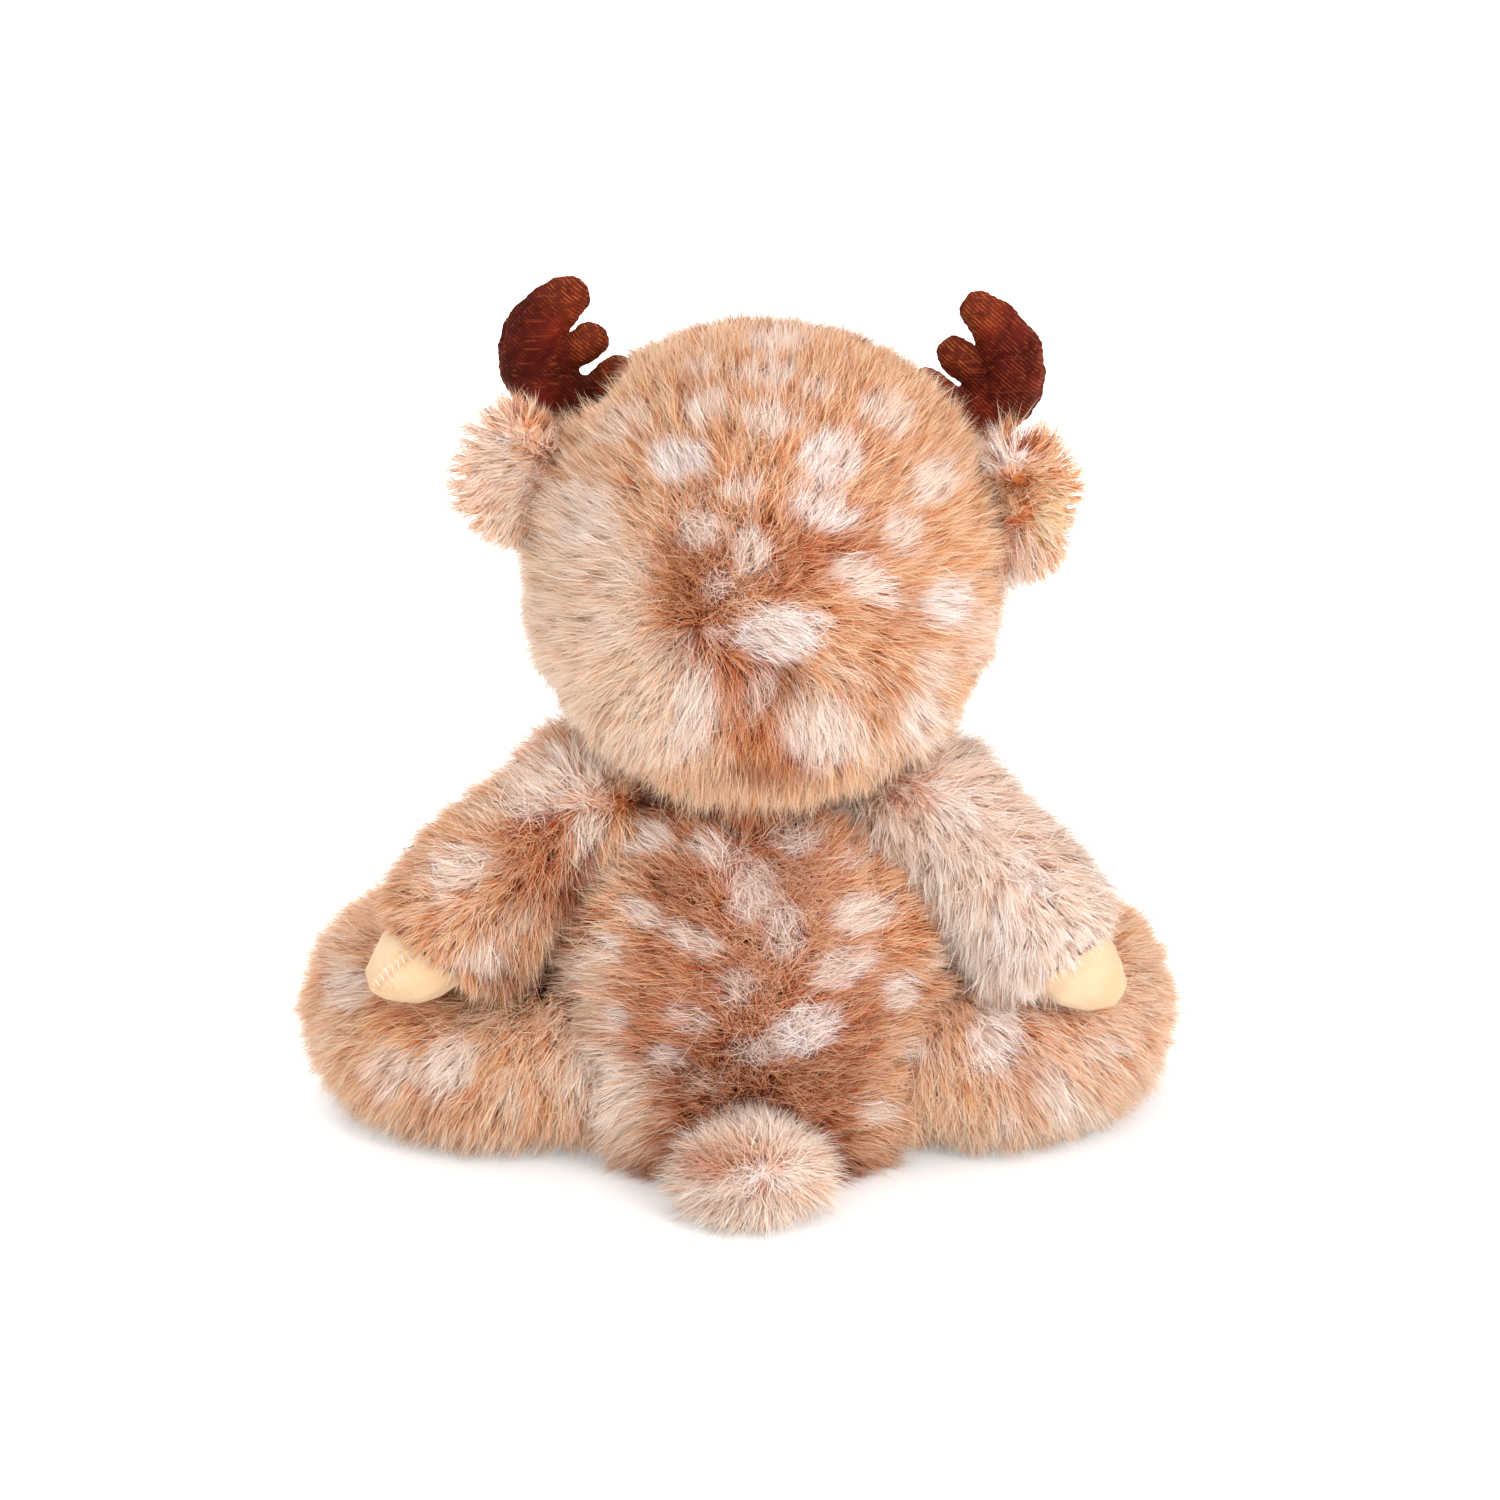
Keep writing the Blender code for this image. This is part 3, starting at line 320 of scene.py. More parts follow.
class Nodes:
    """The node tree of a material or world, with short ways to add and join nodes."""

    def __init__(self, owner, shader="Principled BSDF"):
        owner.use_nodes = True
        self.owner = owner
        self.tree = owner.node_tree
        self.shader = self.tree.nodes[shader]

    def feed(self, node, socket, value):
        if isinstance(value, bpy.types.NodeSocket):
            self.tree.links.new(value, node.inputs[socket])
        else:
            node.inputs[socket].default_value = value

    def add(self, kind, settings=None, **inputs):
        """A new node. An underscore in an input's name stands for a space."""
        node = self.tree.nodes.new(kind)
        for key, value in (settings or {}).items():
            setattr(node, key, value)
        for key, value in inputs.items():
            self.feed(node, key.replace("_", " "), value)
        return node

    def shade(self, **inputs):
        """Sets these inputs of the shader."""
        for key, value in inputs.items():
            self.feed(self.shader, key.replace("_", " "), value)

    def ramp(self, factor, *stops):
        """A colour ramp with these stops: (place, colour), or (place, number) for a grey."""
        node = self.add("ShaderNodeValToRGB", Fac=factor)
        elements = node.color_ramp.elements
        while len(elements) < len(stops):
            elements.new(1.0)
        for element, (place, colour) in zip(elements, stops):
            element.position = place
            element.color = (*np.broadcast_to(colour, 3), 1.0)
        return node.outputs[0]

    def place(self):
        return self.add("ShaderNodeTexCoord").outputs["Object"]

    def noise(self, scale, detail=3.0, where=None, roughness=0.55):
        where = where or self.place()
        node = self.add("ShaderNodeTexNoise", Vector=where, Scale=scale, Detail=detail, Roughness=roughness)
        return node.outputs["Fac"]

    def math(self, operation, *values):
        node = self.add("ShaderNodeMath", {"operation": operation})
        for i, value in enumerate(values):
            self.feed(node, i, value)
        return node.outputs[0]

    def turned(self, place, rotation, scale=(1.0, 1.0, 1.0)):
        node = self.add("ShaderNodeMapping", Vector=place, Rotation=rotation, Scale=scale)
        return node.outputs["Vector"]

    def bump(self, height, strength, distance):
        node = self.add("ShaderNodeBump", Height=height, Strength=strength, Distance=distance)
        return node.outputs["Normal"]

    def seen_rays(self):
        """1 for rays from the camera and for those that shiny and clear surfaces send on, 0 for others."""
        ray = self.add("ShaderNodeLightPath").outputs
        either = self.math("MAXIMUM", ray["Is Camera Ray"], ray["Is Glossy Ray"])
        return self.math("MAXIMUM", either, ray["Is Transmission Ray"])


def new_material(name):
    return Nodes(bpy.data.materials.new(name))


def fur_material(name, roughness, sheen):
    """Fur, in the colour that is painted on its vertices."""
    made = new_material(name)
    grain = made.noise(900.0, 2.0)
    rough = made.add("ShaderNodeMapRange", Value=grain, To_Min=roughness - 0.08, To_Max=roughness + 0.1)
    made.shade(
        Base_Color=made.add("ShaderNodeAttribute", {"attribute_name": "pile"}).outputs["Color"],
        Roughness=rough.outputs["Result"],
        Specular_IOR_Level=0.12,
        Sheen_Weight=sheen,
        Sheen_Roughness=0.5,
        Sheen_Tint=(1.0, 0.9, 0.8, 1.0),
    )
    return made.owner


# Sockets of the Mix node when it mixes colours
MIX_FIRST, MIX_SECOND, MIX_RESULT = 6, 7, 2
# Turn and scale of the two sets of scratches in the velvet
SCRATCHES = ((0.55, 630.0), (-0.75, 504.0))


def velvet_ribs(made, place):
    """Fine ribs that run askew and break off here and there: (the ribs, the broken ribs)."""
    wave = made.add(
        "ShaderNodeTexWave",
        {"wave_type": "BANDS", "bands_direction": "Z"},
        Vector=made.turned(place, (0.0, math.radians(40), 0.0)),
        Scale=300.0,
        Distortion=1.6,
        Detail=2.0,
        Detail_Scale=40.0,
    )
    ribs = made.ramp(wave.outputs["Fac"], (0.45, 0.0), (0.95, 1.0))
    broken = made.ramp(made.noise(420.0, 3.0, place), (0.42, 0.0), (0.62, 1.0))
    return ribs, made.math("MULTIPLY", ribs, broken)


def velvet_scratches(made, place):
    """Noise drawn out into thin lines, at two angles."""
    marks = []
    for turn, scale in SCRATCHES:
        drawn = made.turned(place, (0.0, turn, 0.0), (0.07, 1.0, 2.2))
        marks.append(made.ramp(made.noise(scale, 2.0, drawn, 0.4), (0.64, 0.0), (0.70, 1.0)))
    return made.math("MULTIPLY", made.math("MAXIMUM", *marks), 0.3)


def velvet_material(name, rib_share):
    """Dark red-brown velvet, gold with painted highlight on its ribs and with the painted sheen on its
    vertices.
    """
    made = new_material(name)
    place = made.place()
    patches = made.noise(75.0, 3.0, place)
    painted_sheen = made.add("ShaderNodeAttribute", {"attribute_name": "painted_sheen"}).outputs["Fac"]
    ribs, broken = velvet_ribs(made, place)
    lines = made.math("MULTIPLY", broken, made.math("MULTIPLY_ADD", painted_sheen, 1.0 - rib_share, rib_share))
    share = made.math("MAXIMUM", lines, velvet_scratches(made, place))
    share = made.math("MINIMUM", made.math("MULTIPLY_ADD", painted_sheen, 0.16, share), 0.9)
    # The gold is painted highlight on the ribs, round the tips and along the seam; on the scratches it is
    # their own colour.
    mix = made.add("ShaderNodeMix", {"data_type": "RGBA"}, Factor=share)
    dark, middle, light = linear(54, 6, 2), linear(78, 12, 4), linear(112, 27, 10)
    made.feed(mix, MIX_FIRST, made.ramp(patches, (0.34, dark), (0.52, middle), (0.70, light)))
    made.feed(mix, MIX_SECOND, (*linear(184, 88, 46), 1.0))
    height = made.math("MULTIPLY_ADD", ribs, 0.6, made.noise(1100.0, 2.0, place))
    made.shade(
        Base_Color=mix.outputs[MIX_RESULT],
        Normal=made.bump(height, 0.6, 0.0003),
        Roughness=made.ramp(patches, (0.3, 0.8), (0.7, 0.6)),
        Sheen_Weight=0.18,
        Sheen_Roughness=0.3,
        Sheen_Tint=(0.9, 0.28, 0.10, 1.0),
        Specular_IOR_Level=0.12,
    )
    return made.owner


def grained(name, broad, colours, fine, relief, roughnesses, **inputs):
    """A material whose colour follows a broad noise, and whose relief and roughness follow a fine one."""
    made = new_material(name)
    place = made.place()
    scale, detail, roughness = fine
    grain = made.noise(scale, detail, place, roughness)
    made.shade(
        Base_Color=made.ramp(made.noise(*broad, place), *colours),
        Normal=made.bump(grain, *relief),
        Roughness=made.ramp(grain, *roughnesses),
        **inputs,
    )
    return made.owner


def suede_material():
    colours = (0.32, linear(226, 190, 150)), (0.52, linear(234, 200, 162)), (0.7, linear(241, 212, 178))
    roughnesses = (0.3, 0.72), (0.7, 0.92)
    sheen = {"Sheen_Weight": 0.08, "Sheen_Roughness": 0.4, "Specular_IOR_Level": 0.15}
    return grained("suede", (45.0, 3.0), colours, (1500.0, 3.0, 0.7), (0.6, 0.0004), roughnesses, **sheen)


def lining_material():
    colours = (0.35, linear(246, 222, 184)), (0.65, linear(252, 236, 208))
    fine = (2200.0, 2.0, 0.7)
    roughnesses = (0.3, 0.6), (0.7, 0.8)
    return grained("ear lining", (70.0, 2.0), colours, fine, (0.3, 0.0002), roughnesses, Sheen_Weight=0.4)


def moulded_material(name, dark, light, roughness):
    """Glossy moulded plastic."""
    colours = (0.35, dark), (0.7, light)
    roughnesses = (0.2, roughness - 0.03), (0.8, roughness + 0.05)
    gloss = {"Coat_Weight": 0.6, "Coat_Roughness": 0.04}
    return grained(name, (120.0, 2.0), colours, (2600.0, 2.0, 0.55), (0.05, 0.0001), roughnesses, **gloss)


def thread_material():
    made = new_material("thread")
    wave = {"bands_direction": "DIAGONAL"}
    ply = made.add("ShaderNodeTexWave", wave, Vector=made.place(), Scale=1400.0, Distortion=1.0)
    ply = ply.outputs["Fac"]
    made.shade(
        Base_Color=made.ramp(ply, (0.2, linear(226, 216, 198)), (0.8, linear(252, 248, 240))),
        Normal=made.bump(ply, 0.4, 0.0002),
        Roughness=0.7,
    )
    return made.owner


# Pattern of the coat, with places and sizes in the photograph's 1500 px frame. Each patch is an ellipse:
# x, y, half width, half height, lean in degrees, colour, weight, softness of its edge

HEAD_PATCHES = rows("""
560 600 90 190 0 beige 0.65 0.7
640 400 110 90 20 tan 0.6 0.7
900 480 120 220 0 orange 0.55 0.7
770 480 110 120 0 orange 0.5 0.8
692 612 52 92 -8 rust 0.95 0.5
800 565 70 38 -12 rust 0.7 0.6
700 560 52 40 0 rust 0.7 0.6
745 690 46 70 20 rust 0.85 0.5
650 748 56 24 0 cream 0.5 0.6
872 752 56 20 0 cream 0.5 0.6
775 755 48 36 0 rust 0.95 0.5
765 778 60 14 0 brown 0.6 0.6
790 685 26 34 0 brown 0.75 0.5
684 590 22 56 -6 brown 0.6 0.6
668 660 26 30 0 brown 0.65 0.6
905 645 40 50 0 tan 0.7 0.6
640 700 80 60 0 beige 0.7 0.7
880 735 50 50 0 tan 0.6 0.6
690 380 26 20 0 rust 0.35 0.7
690 490 34 24 0 rust 0.45 0.7
845 545 60 30 0 rust 0.6 0.7
905 615 60 36 0 rust 0.4 0.7
880 700 60 30 0 rust 0.35 0.7
600 480 44 30 0 rust 0.2 0.7
765 520 60 25 0 rust 0.35 0.7
545 640 30 110 0 peach 0.5 0.7
600 560 40 40 0 cream 0.35 0.6
775 338 34 12 0 cream 0.75 0.3
765 370 32 12 5 cream 0.8 0.3
700 366 20 10 0 cream 0.5 0.4
818 385 17 9 0 cream 0.75 0.3
705 404 24 15 -20 cream 0.8 0.3
772 415 32 15 8 cream 0.85 0.25
888 412 30 17 35 cream 0.8 0.3
620 420 34 20 -30 cream 0.5 0.5
679 456 29 21 0 white 0.95 0.15
831 454 29 26 0 white 0.95 0.15
937 478 22 26 25 cream 0.85 0.3
743 485 20 15 0 cream 0.8 0.3
828 508 38 20 18 white 0.9 0.25
700 525 26 20 -20 cream 0.65 0.5
752 548 19 26 -15 cream 0.85 0.3
905 532 17 28 -25 cream 0.8 0.3
582 515 34 34 0 cream 0.7 0.4
868 580 40 19 32 cream 0.9 0.25
951 600 21 27 0 white 0.9 0.25
718 585 16 16 0 cream 0.5 0.5
785 632 45 27 -4 white 0.95 0.2
700 640 30 12 0 cream 0.5 0.5
600 630 30 22 0 cream 0.5 0.5
560 700 40 50 0 beige 0.5 0.6
938 668 20 22 0 cream 0.6 0.4
925 720 22 32 15 cream 0.8 0.3
825 735 42 34 0 cream 0.7 0.4
850 680 26 18 0 beige 0.6 0.5
692 712 26 42 0 cream 0.65 0.4
760 690 14 30 30 cream 0.4 0.5
985 640 24 40 0 cream 0.4 0.5
""")
# The thin brown strips at 572 915 and 950 930, where the arms meet the torso, are partly brown fur and partly
# painted shade between the parts.
TORSO_PATCHES = rows("""
600 900 46 130 8 tan 0.8 0.6
905 900 60 110 -10 orange 0.75 0.6
560 1010 60 80 0 beige 0.6 0.7
940 1040 60 60 0 tan 0.7 0.6
745 1070 130 40 0 brown 0.5 0.6
596 1115 64 70 0 beige 0.85 0.5
600 1090 28 50 -10 cream 0.7 0.5
905 1120 62 60 0 tan 0.7 0.5
880 1112 22 14 0 cream 0.7 0.35
790 870 38 60 0 brown 0.45 0.7
670 890 44 40 0 brown 0.4 0.7
755 795 130 22 0 rust 0.6 0.6
640 836 32 15 -10 cream 0.85 0.3
718 848 30 18 10 cream 0.75 0.35
800 838 24 18 0 cream 0.5 0.5
868 806 34 12 0 cream 0.8 0.3
855 860 12 12 0 cream 0.4 0.5
752 892 26 30 20 cream 0.6 0.45
787 930 20 26 0 cream 0.65 0.4
640 910 24 14 30 cream 0.8 0.3
695 938 28 15 25 cream 0.8 0.3
870 914 32 18 -8 cream 0.9 0.25
848 965 32 18 -20 cream 0.75 0.35
905 990 18 20 0 cream 0.85 0.3
605 870 16 16 0 beige 0.7 0.4
605 950 18 16 20 cream 0.7 0.3
578 968 14 18 0 cream 0.6 0.4
735 985 20 20 0 cream 0.6 0.4
690 1018 24 14 10 cream 0.65 0.4
810 1028 36 24 -20 white 0.85 0.25
612 1020 15 14 0 cream 0.8 0.3
660 1058 24 14 0 cream 0.6 0.4
920 1052 16 13 0 cream 0.7 0.3
757 1052 26 14 0 cream 0.55 0.45
700 1085 24 14 0 beige 0.5 0.5
945 960 16 20 0 beige 0.7 0.4
572 915 11 56 22 brown 0.7 0.5
950 930 12 60 -26 brown 0.6 0.5
""")
# Below the left arm, the patches at 480 1010 and 520 982 are painted shadow on the top of the leg.
LEG_PATCHES = rows("""
560 1060 90 90 0 tan 0.6 0.7
575 1055 44 60 0 beige 0.8 0.5
595 1085 30 40 0 cream 0.55 0.5
480 1010 70 26 0 dusk 0.4 0.7
520 982 64 18 -16 brown 0.8 0.6
500 1050 40 30 0 tan 0.5 0.6
330 940 24 30 0 beige 0.6 0.5
345 988 24 24 0 cream 0.85 0.35
322 1040 18 26 0 beige 0.6 0.5
388 1075 28 28 20 cream 0.75 0.35
446 1070 26 36 20 cream 0.85 0.3
505 1105 20 22 0 beige 0.7 0.4
430 1120 30 14 0 rust 0.35 0.6
410 1020 40 18 0 rust 0.4 0.6
1060 1060 130 120 0 peach 0.4 0.7
960 1110 60 34 0 tan 0.7 0.6
1000 1042 28 36 0 white 0.85 0.3
880 1112 22 14 0 cream 0.7 0.35
925 1060 20 14 0 cream 0.5 0.4
1010 1130 16 14 0 cream 0.6 0.35
1062 1098 20 30 -10 cream 0.85 0.3
1088 1128 18 20 0 cream 0.5 0.4
1110 1052 22 16 0 cream 0.6 0.4
1150 990 14 50 0 beige 0.6 0.5
1030 1080 30 30 0 rust 0.35 0.6
""")
# On the left arm, the brown patch at 510 985 along its lower edge is painted shadow, and the brown strip at
# 577 895, where the arm meets the torso, is partly brown fur and partly painted shade between the parts.
ARM_PATCHES = rows("""
530 845 44 54 0 rust 0.85 0.5
545 900 44 40 0 rust 0.6 0.6
555 775 64 38 -24 cream 0.9 0.5
590 825 20 40 10 cream 0.8 0.4
480 800 36 26 -30 beige 0.6 0.6
445 885 30 46 20 peach 0.5 0.6
455 868 34 26 -30 cream 0.9 0.3
432 925 24 22 0 tan 0.7 0.5
500 930 40 14 -20 beige 0.6 0.4
480 965 34 16 -10 cream 0.7 0.4
510 985 30 20 0 brown 0.6 0.5
577 895 13 64 24 brown 0.85 0.5
1000 880 160 200 40 cream 0.8 0.5
1040 880 26 36 -20 white 0.7 0.5
1085 945 26 30 0 white 0.5 0.5
960 800 40 30 30 white 0.5 0.5
905 800 30 60 0 orange 0.3 0.7
1060 860 20 40 -30 orange 0.25 0.7
1010 940 26 34 0 white 0.5 0.5
1000 785 34 14 40 tan 0.3 0.6
""")
EAR_PATCHES = rows("""
500 480 70 90 0 peach 0.95 0.4
490 430 40 30 0 cream 0.6 0.6
548 500 30 44 0 rust 0.9 0.6
552 515 18 30 0 brown 0.7 0.6
530 530 24 20 0 tan 0.6 0.6
505 405 16 12 0 tan 0.4 0.6
1005 452 34 22 0 white 0.9 0.35
1000 540 40 50 0 rust 0.6 0.6
985 520 22 44 0 brown 0.4 0.6
1020 500 20 20 0 tan 0.7 0.5
1016 590 20 14 0 cream 0.8 0.4
1040 555 30 26 0 peach 0.7 0.6
1070 465 24 20 0 tan 0.6 0.6
1062 520 24 36 10 straw 0.9 0.5
""")
TAIL_PATCHES = rows("""
742 1160 110 66 0 cream 0.5 0.3
738 1155 66 34 0 orange 0.8 0.6
700 1165 34 24 0 rust 0.75 0.6
790 1195 26 16 0 tan 0.6 0.5
735 1205 50 10 0 rust 0.5 0.5
768 1176 32 22 0 white 0.95 0.4
""")

# Flow of the coat in the same frame: x, y, right, down

HEAD_FLOW = rows("""
762 325 0.05 -1
650 350 -0.35 -1
880 350 0.4 -1
762 400 0.1 -1
690 430 -0.2 -1
830 440 0.2 -1
930 440 0.6 -0.9
600 430 -0.7 -0.8
560 520 -0.9 -0.5
640 520 -0.6 -0.8
720 510 -0.05 -1
800 510 0.3 -1
880 520 0.5 -0.8
960 560 0.9 -0.4
530 600 -1 -0.1
590 600 -1 -0.35
650 575 -0.8 -0.7
700 560 -0.1 -1
760 585 0.5 -0.85
820 590 0.8 -0.6
750 625 0.9 -0.4
800 640 1 0.05
850 615 0.85 -0.4
930 640 1 0.0
990 640 1 -0.1
560 690 -1 0.35
640 650 -0.9 0.2
640 700 -0.6 0.7
700 680 -0.3 0.9
700 730 -0.2 1
755 690 0.3 1
800 690 0.2 1
805 740 -0.25 1
850 740 0.4 0.9
880 690 0.6 0.7
930 700 0.9 0.2
620 750 -0.6 0.9
700 768 -0.2 1
800 768 0 1
880 755 0.2 1
940 745 0.6 0.5
""")
TORSO_FLOW = rows("""
640 790 -0.8 -0.4
700 800 -0.5 0.4
760 800 0.1 1
860 800 0.9 -0.3
620 860 -0.8 -0.6
700 860 -0.6 -0.8
760 870 0.5 0.4
830 860 0.6 -0.8
900 860 0.8 -0.6
590 960 -0.9 -0.4
680 950 -0.7 -0.7
760 950 -0.3 -0.6
850 960 0.7 -0.7
930 970 0.9 -0.4
600 1050 -0.9 -0.1
690 1040 -0.6 -0.8
770 1040 0.2 -1
840 1040 0.7 -0.8
930 1050 0.8 -0.3
640 1110 -0.8 0.3
720 1090 -0.3 -0.8
820 1090 0.4 -0.7
900 1110 0.7 0.3
""")
LEG_FLOW = rows("""
320 1010 -1 0.1
330 940 -0.9 -0.5
370 1080 -0.7 0.7
430 1090 -0.5 0.9
520 1110 -0.35 0.9
600 1100 -0.2 1
560 1020 -0.5 0.5
460 1010 -0.8 0.3
400 1020 -0.9 0.2
620 1130 0.1 1
500 1060 -0.6 0.8
880 1100 0.1 1
960 1090 0.3 0.9
1010 1040 0.6 0.6
1060 1090 0.6 0.8
1110 1060 0.9 0.5
1160 990 1 -0.1
1120 930 0.8 -0.7
980 1130 0.2 1
""")
ARM_FLOW = rows("""
600 760 -0.3 -0.8
540 780 -0.7 -0.7
480 830 -0.8 -0.5
440 885 -1 -0.1
500 880 -0.9 0.1
560 860 -0.6 0.6
590 850 0.1 1
560 920 0.1 1
500 950 -0.2 1
430 935 -0.8 0.5
480 985 -0.1 1
530 970 0.3 1
900 780 0.6 0.3
940 770 0.8 -0.3
910 820 0.6 0.8
960 840 0.7 0.7
1020 800 0.9 -0.1
1060 870 0.9 0.3
1000 900 0.4 0.9
1090 910 0.7 0.6
1050 950 0.3 1
1000 980 0.05 1
950 920 0.2 1
""")
EAR_FLOW = rows("""
540 480 -0.6 -0.2
500 415 -0.5 -0.9
545 420 0.1 -1
470 440 -0.9 -0.4
465 490 -1 0.1
500 530 -0.6 0.8
540 535 -0.2 1
985 450 -0.4 -0.9
1015 430 0 -1
1046 445 0.4 -0.9
1075 465 0.8 -0.5
1062 500 0.9 -0.2
1046 545 0.6 0.8
1023 570 0.3 1
1000 590 0.1 1
1000 500 -0.4 -0.8
1000 550 0.1 1
""")

# Where the pile is tangled: x, y, radius, share of loose strands
TANGLES = rows("""
690 600 75 0.55
700 530 36 0.35
790 700 60 0.3
690 680 50 0.3
770 880 70 0.45
780 950 60 0.4
770 1045 60 0.35
690 850 50 0.2
530 840 50 0.35
960 1085 60 0.3
500 1040 60 0.25
985 520 40 0.4
545 490 30 0.3
745 1165 64 0.6
870 1060 40 0.25
""")

# Where the pile is longer or shorter: x, y, half width, half height, lean, share
LENGTHS = {
    "head": [
        (598, 408, 52, 24, -36, 0.35), (945, 405, 52, 24, 40, 0.35), (560, 700, 44, 50, 0, 0.7),
        (968, 695, 40, 50, 0, 0.8), (760, 768, 170, 20, 0, 1.1),
    ],
    "torso": [(610, 790, 40, 40, 0, 1.15), (905, 790, 40, 40, 0, 1.15)],
    "arm": [
        (595, 745, 44, 30, 0, 1.3), (940, 745, 44, 30, 0, 1.25), (510, 975, 60, 40, -30, 1.35),
        (1000, 990, 60, 36, 0, 1.3),
    ],
    "leg": [(560, 990, 60, 30, 0, 1.25), (930, 990, 60, 30, 0, 1.25)],
    "ear": [
        (495, 412, 40, 24, -20, 1.15), (545, 428, 30, 22, 0, 0.8), (520, 540, 30, 22, 0, 0.85),
        (1015, 440, 60, 26, 10, 1.3), (1062, 522, 18, 30, 0, 0.55),
    ],
}


# How far the edges of patches stray, from strand to strand and in waves
RAGGED_PX = 2.2
WAVY_PX = 4.5


def in_patch(places, patch, soft):
    """How far these places of the photograph lie inside an ellipse, from 0 to 1."""
    x, y, wide, high, lean = patch
    turn = math.radians(lean)
    dx = (places[:, 0] - x) * math.cos(turn) + (places[:, 1] - y) * math.sin(turn)
    dy = -(places[:, 0] - x) * math.sin(turn) + (places[:, 1] - y) * math.cos(turn)
    return 1 - smoothstep(1 - soft, 1.12 + soft * 0.3, np.sqrt((dx / wide) ** 2 + (dy / high) ** 2))


def turned_flow(points, normals, table, fallback):
    """Unit directions along the surface: the flow table's where the camera sees, the fallback's elsewhere."""
    places = seen(points)
    table = np.array(table, float)
    weights = 1.0 / (((places[:, None, :] - table[None, :, :2]) ** 2).sum(-1) + 400.0) ** 2
    image = unit((weights[..., None] * table[None, :, 2:]).sum(1) / weights.sum(1)[:, None])
    in_photo = image[:, :1] * ACROSS - image[:, 1:] * UPWARD
    shown = smoothstep(-0.25, 0.35, normals @ TO_CAMERA)[:, None]
    return unit(flattened(mixed(unit(fallback), in_photo, shown), normals))


def painted(points, normals, base, hidden, patches, seed):
    """The coat's colour at each point: hidden colour away from the camera, base and patches where it sees."""
    rng = np.random.default_rng(seed)
    places = seen(points) + rng.normal(0, RAGGED_PX, (len(points), 2))
    places = places + wander(points, 14.0, seed + 1)[:, :2] * WAVY_PX
    colour = base
    for x, y, wide, high, lean, paint, weight, soft in patches:
        grown = 1.05 if paint in ("cream", "white") else 1.0
        share = in_patch(places, (x, y, wide * grown, high * grown, lean), soft)[:, None] * weight
        colour = mixed(colour, COLOURS[paint], share)
    return mixed(hidden, colour, smoothstep(-0.2, 0.1, normals @ TO_CAMERA)[:, None])


def spotted(points, colour, where, count, radius, seed, weight):
    """Round pale spots on the sides that the photograph doesn't show."""
    rng = np.random.default_rng(seed)
    choices = points[where] if where.any() else points
    centres = choices[rng.integers(0, len(choices), count)]
    sizes = rng.uniform(0.7, 1.25, count) * radius
    far = np.sqrt(((points[:, None, :] - centres[None]) ** 2).sum(-1)) / sizes
    share = ((1 - smoothstep(0.7, 1.15, far.min(1))) * weight)[:, None]
    return mixed(colour, COLOURS["cream"], share)


# Places on the toy, in millimetres
MIDDLE_X = -4.0
HEAD_MIDDLE = (MIDDLE_X, 4.0, 196.0)
NOSE = (MIDDLE_X, -66.0, 168.0)
MUZZLE_FRONT = (-3.6, -74.0, 168.0)
TAIL_ROOT = (-5.5, 66.0, 17.5)


def head_paint(points, normals, seed):
    x, y, z = points.T
    aside = np.abs(x - MIDDLE_X)
    hidden = mixed(COLOURS["tan"], COLOURS["peach"], smoothstep(8, 34, -y)[:, None])
    cheek = smoothstep(170, 140, z) * smoothstep(-10, 20, -y)
    hidden = mixed(hidden, COLOURS["cream"], cheek[:, None])
    blaze = smoothstep(26, 10, aside) * smoothstep(190, 215, z) * smoothstep(10, 30, -y)
    hidden = mixed(hidden, COLOURS["rust"], blaze[:, None] * 0.7)
    beside = (aside > 34) & (y > -22) & (normals @ TO_CAMERA < 0.0) & (z > 165)
    hidden = spotted(points, hidden, beside, 9, 6.5, 78, 0.8)
    return painted(points, normals, COLOURS["tan"], hidden, HEAD_PATCHES, seed)


def torso_paint(points, normals, seed):
    x, y, _ = points.T
    hidden = mixed(COLOURS["tan"], COLOURS["cream"], smoothstep(0, 26, -y)[:, None])
    beside = (np.abs(x) > 34) & (y > -24) & (normals @ TO_CAMERA < 0.05)
    hidden = spotted(points, hidden, beside, 10, 7.0, 79, 0.8)
    base = mixed(COLOURS["rust"], COLOURS["tan"], 0.25)
    return painted(points, normals, base, hidden, TORSO_PATCHES, seed)


def leg_paint(points, normals, seed):
    x, y, z = points.T
    base = mixed(COLOURS["tan"], COLOURS["beige"], smoothstep(16, 6, z)[:, None] * 0.5)
    inner = smoothstep(40, 20, np.abs(x)) * smoothstep(-10, -40, y)
    hidden = mixed(COLOURS["tan"], COLOURS["cream"], inner[:, None])
    hidden = spotted(points, hidden, normals @ TO_CAMERA < 0.05, 12, 8.5, 77, 0.85)
    return painted(points, normals, base, hidden, LEG_PATCHES, seed)


def arm_paint(points, normals, seed):
    base = np.where(points[:, :1] > 0, COLOURS["tan"], COLOURS["peach"])
    return painted(points, normals, base, mixed(base, COLOURS["cream"], 0.5), ARM_PATCHES, seed)


def ear_paint(points, normals, seed):
    return painted(points, normals, COLOURS["tan"], COLOURS["beige"], EAR_PATCHES, seed)


def tail_paint(points, normals, seed):
    return painted(points, normals, COLOURS["peach"], COLOURS["cream"], TAIL_PATCHES, seed)


def muzzle_paint(points, normals, seed):
    top = smoothstep(12, 4, np.abs(points[:, 0] - MIDDLE_X)) * smoothstep(166, 174, points[:, 2])
    return mixed(COLOURS["white"], COLOURS["tan"], top[:, None] * 0.5)


# Fall of the coat where the photograph doesn't show it


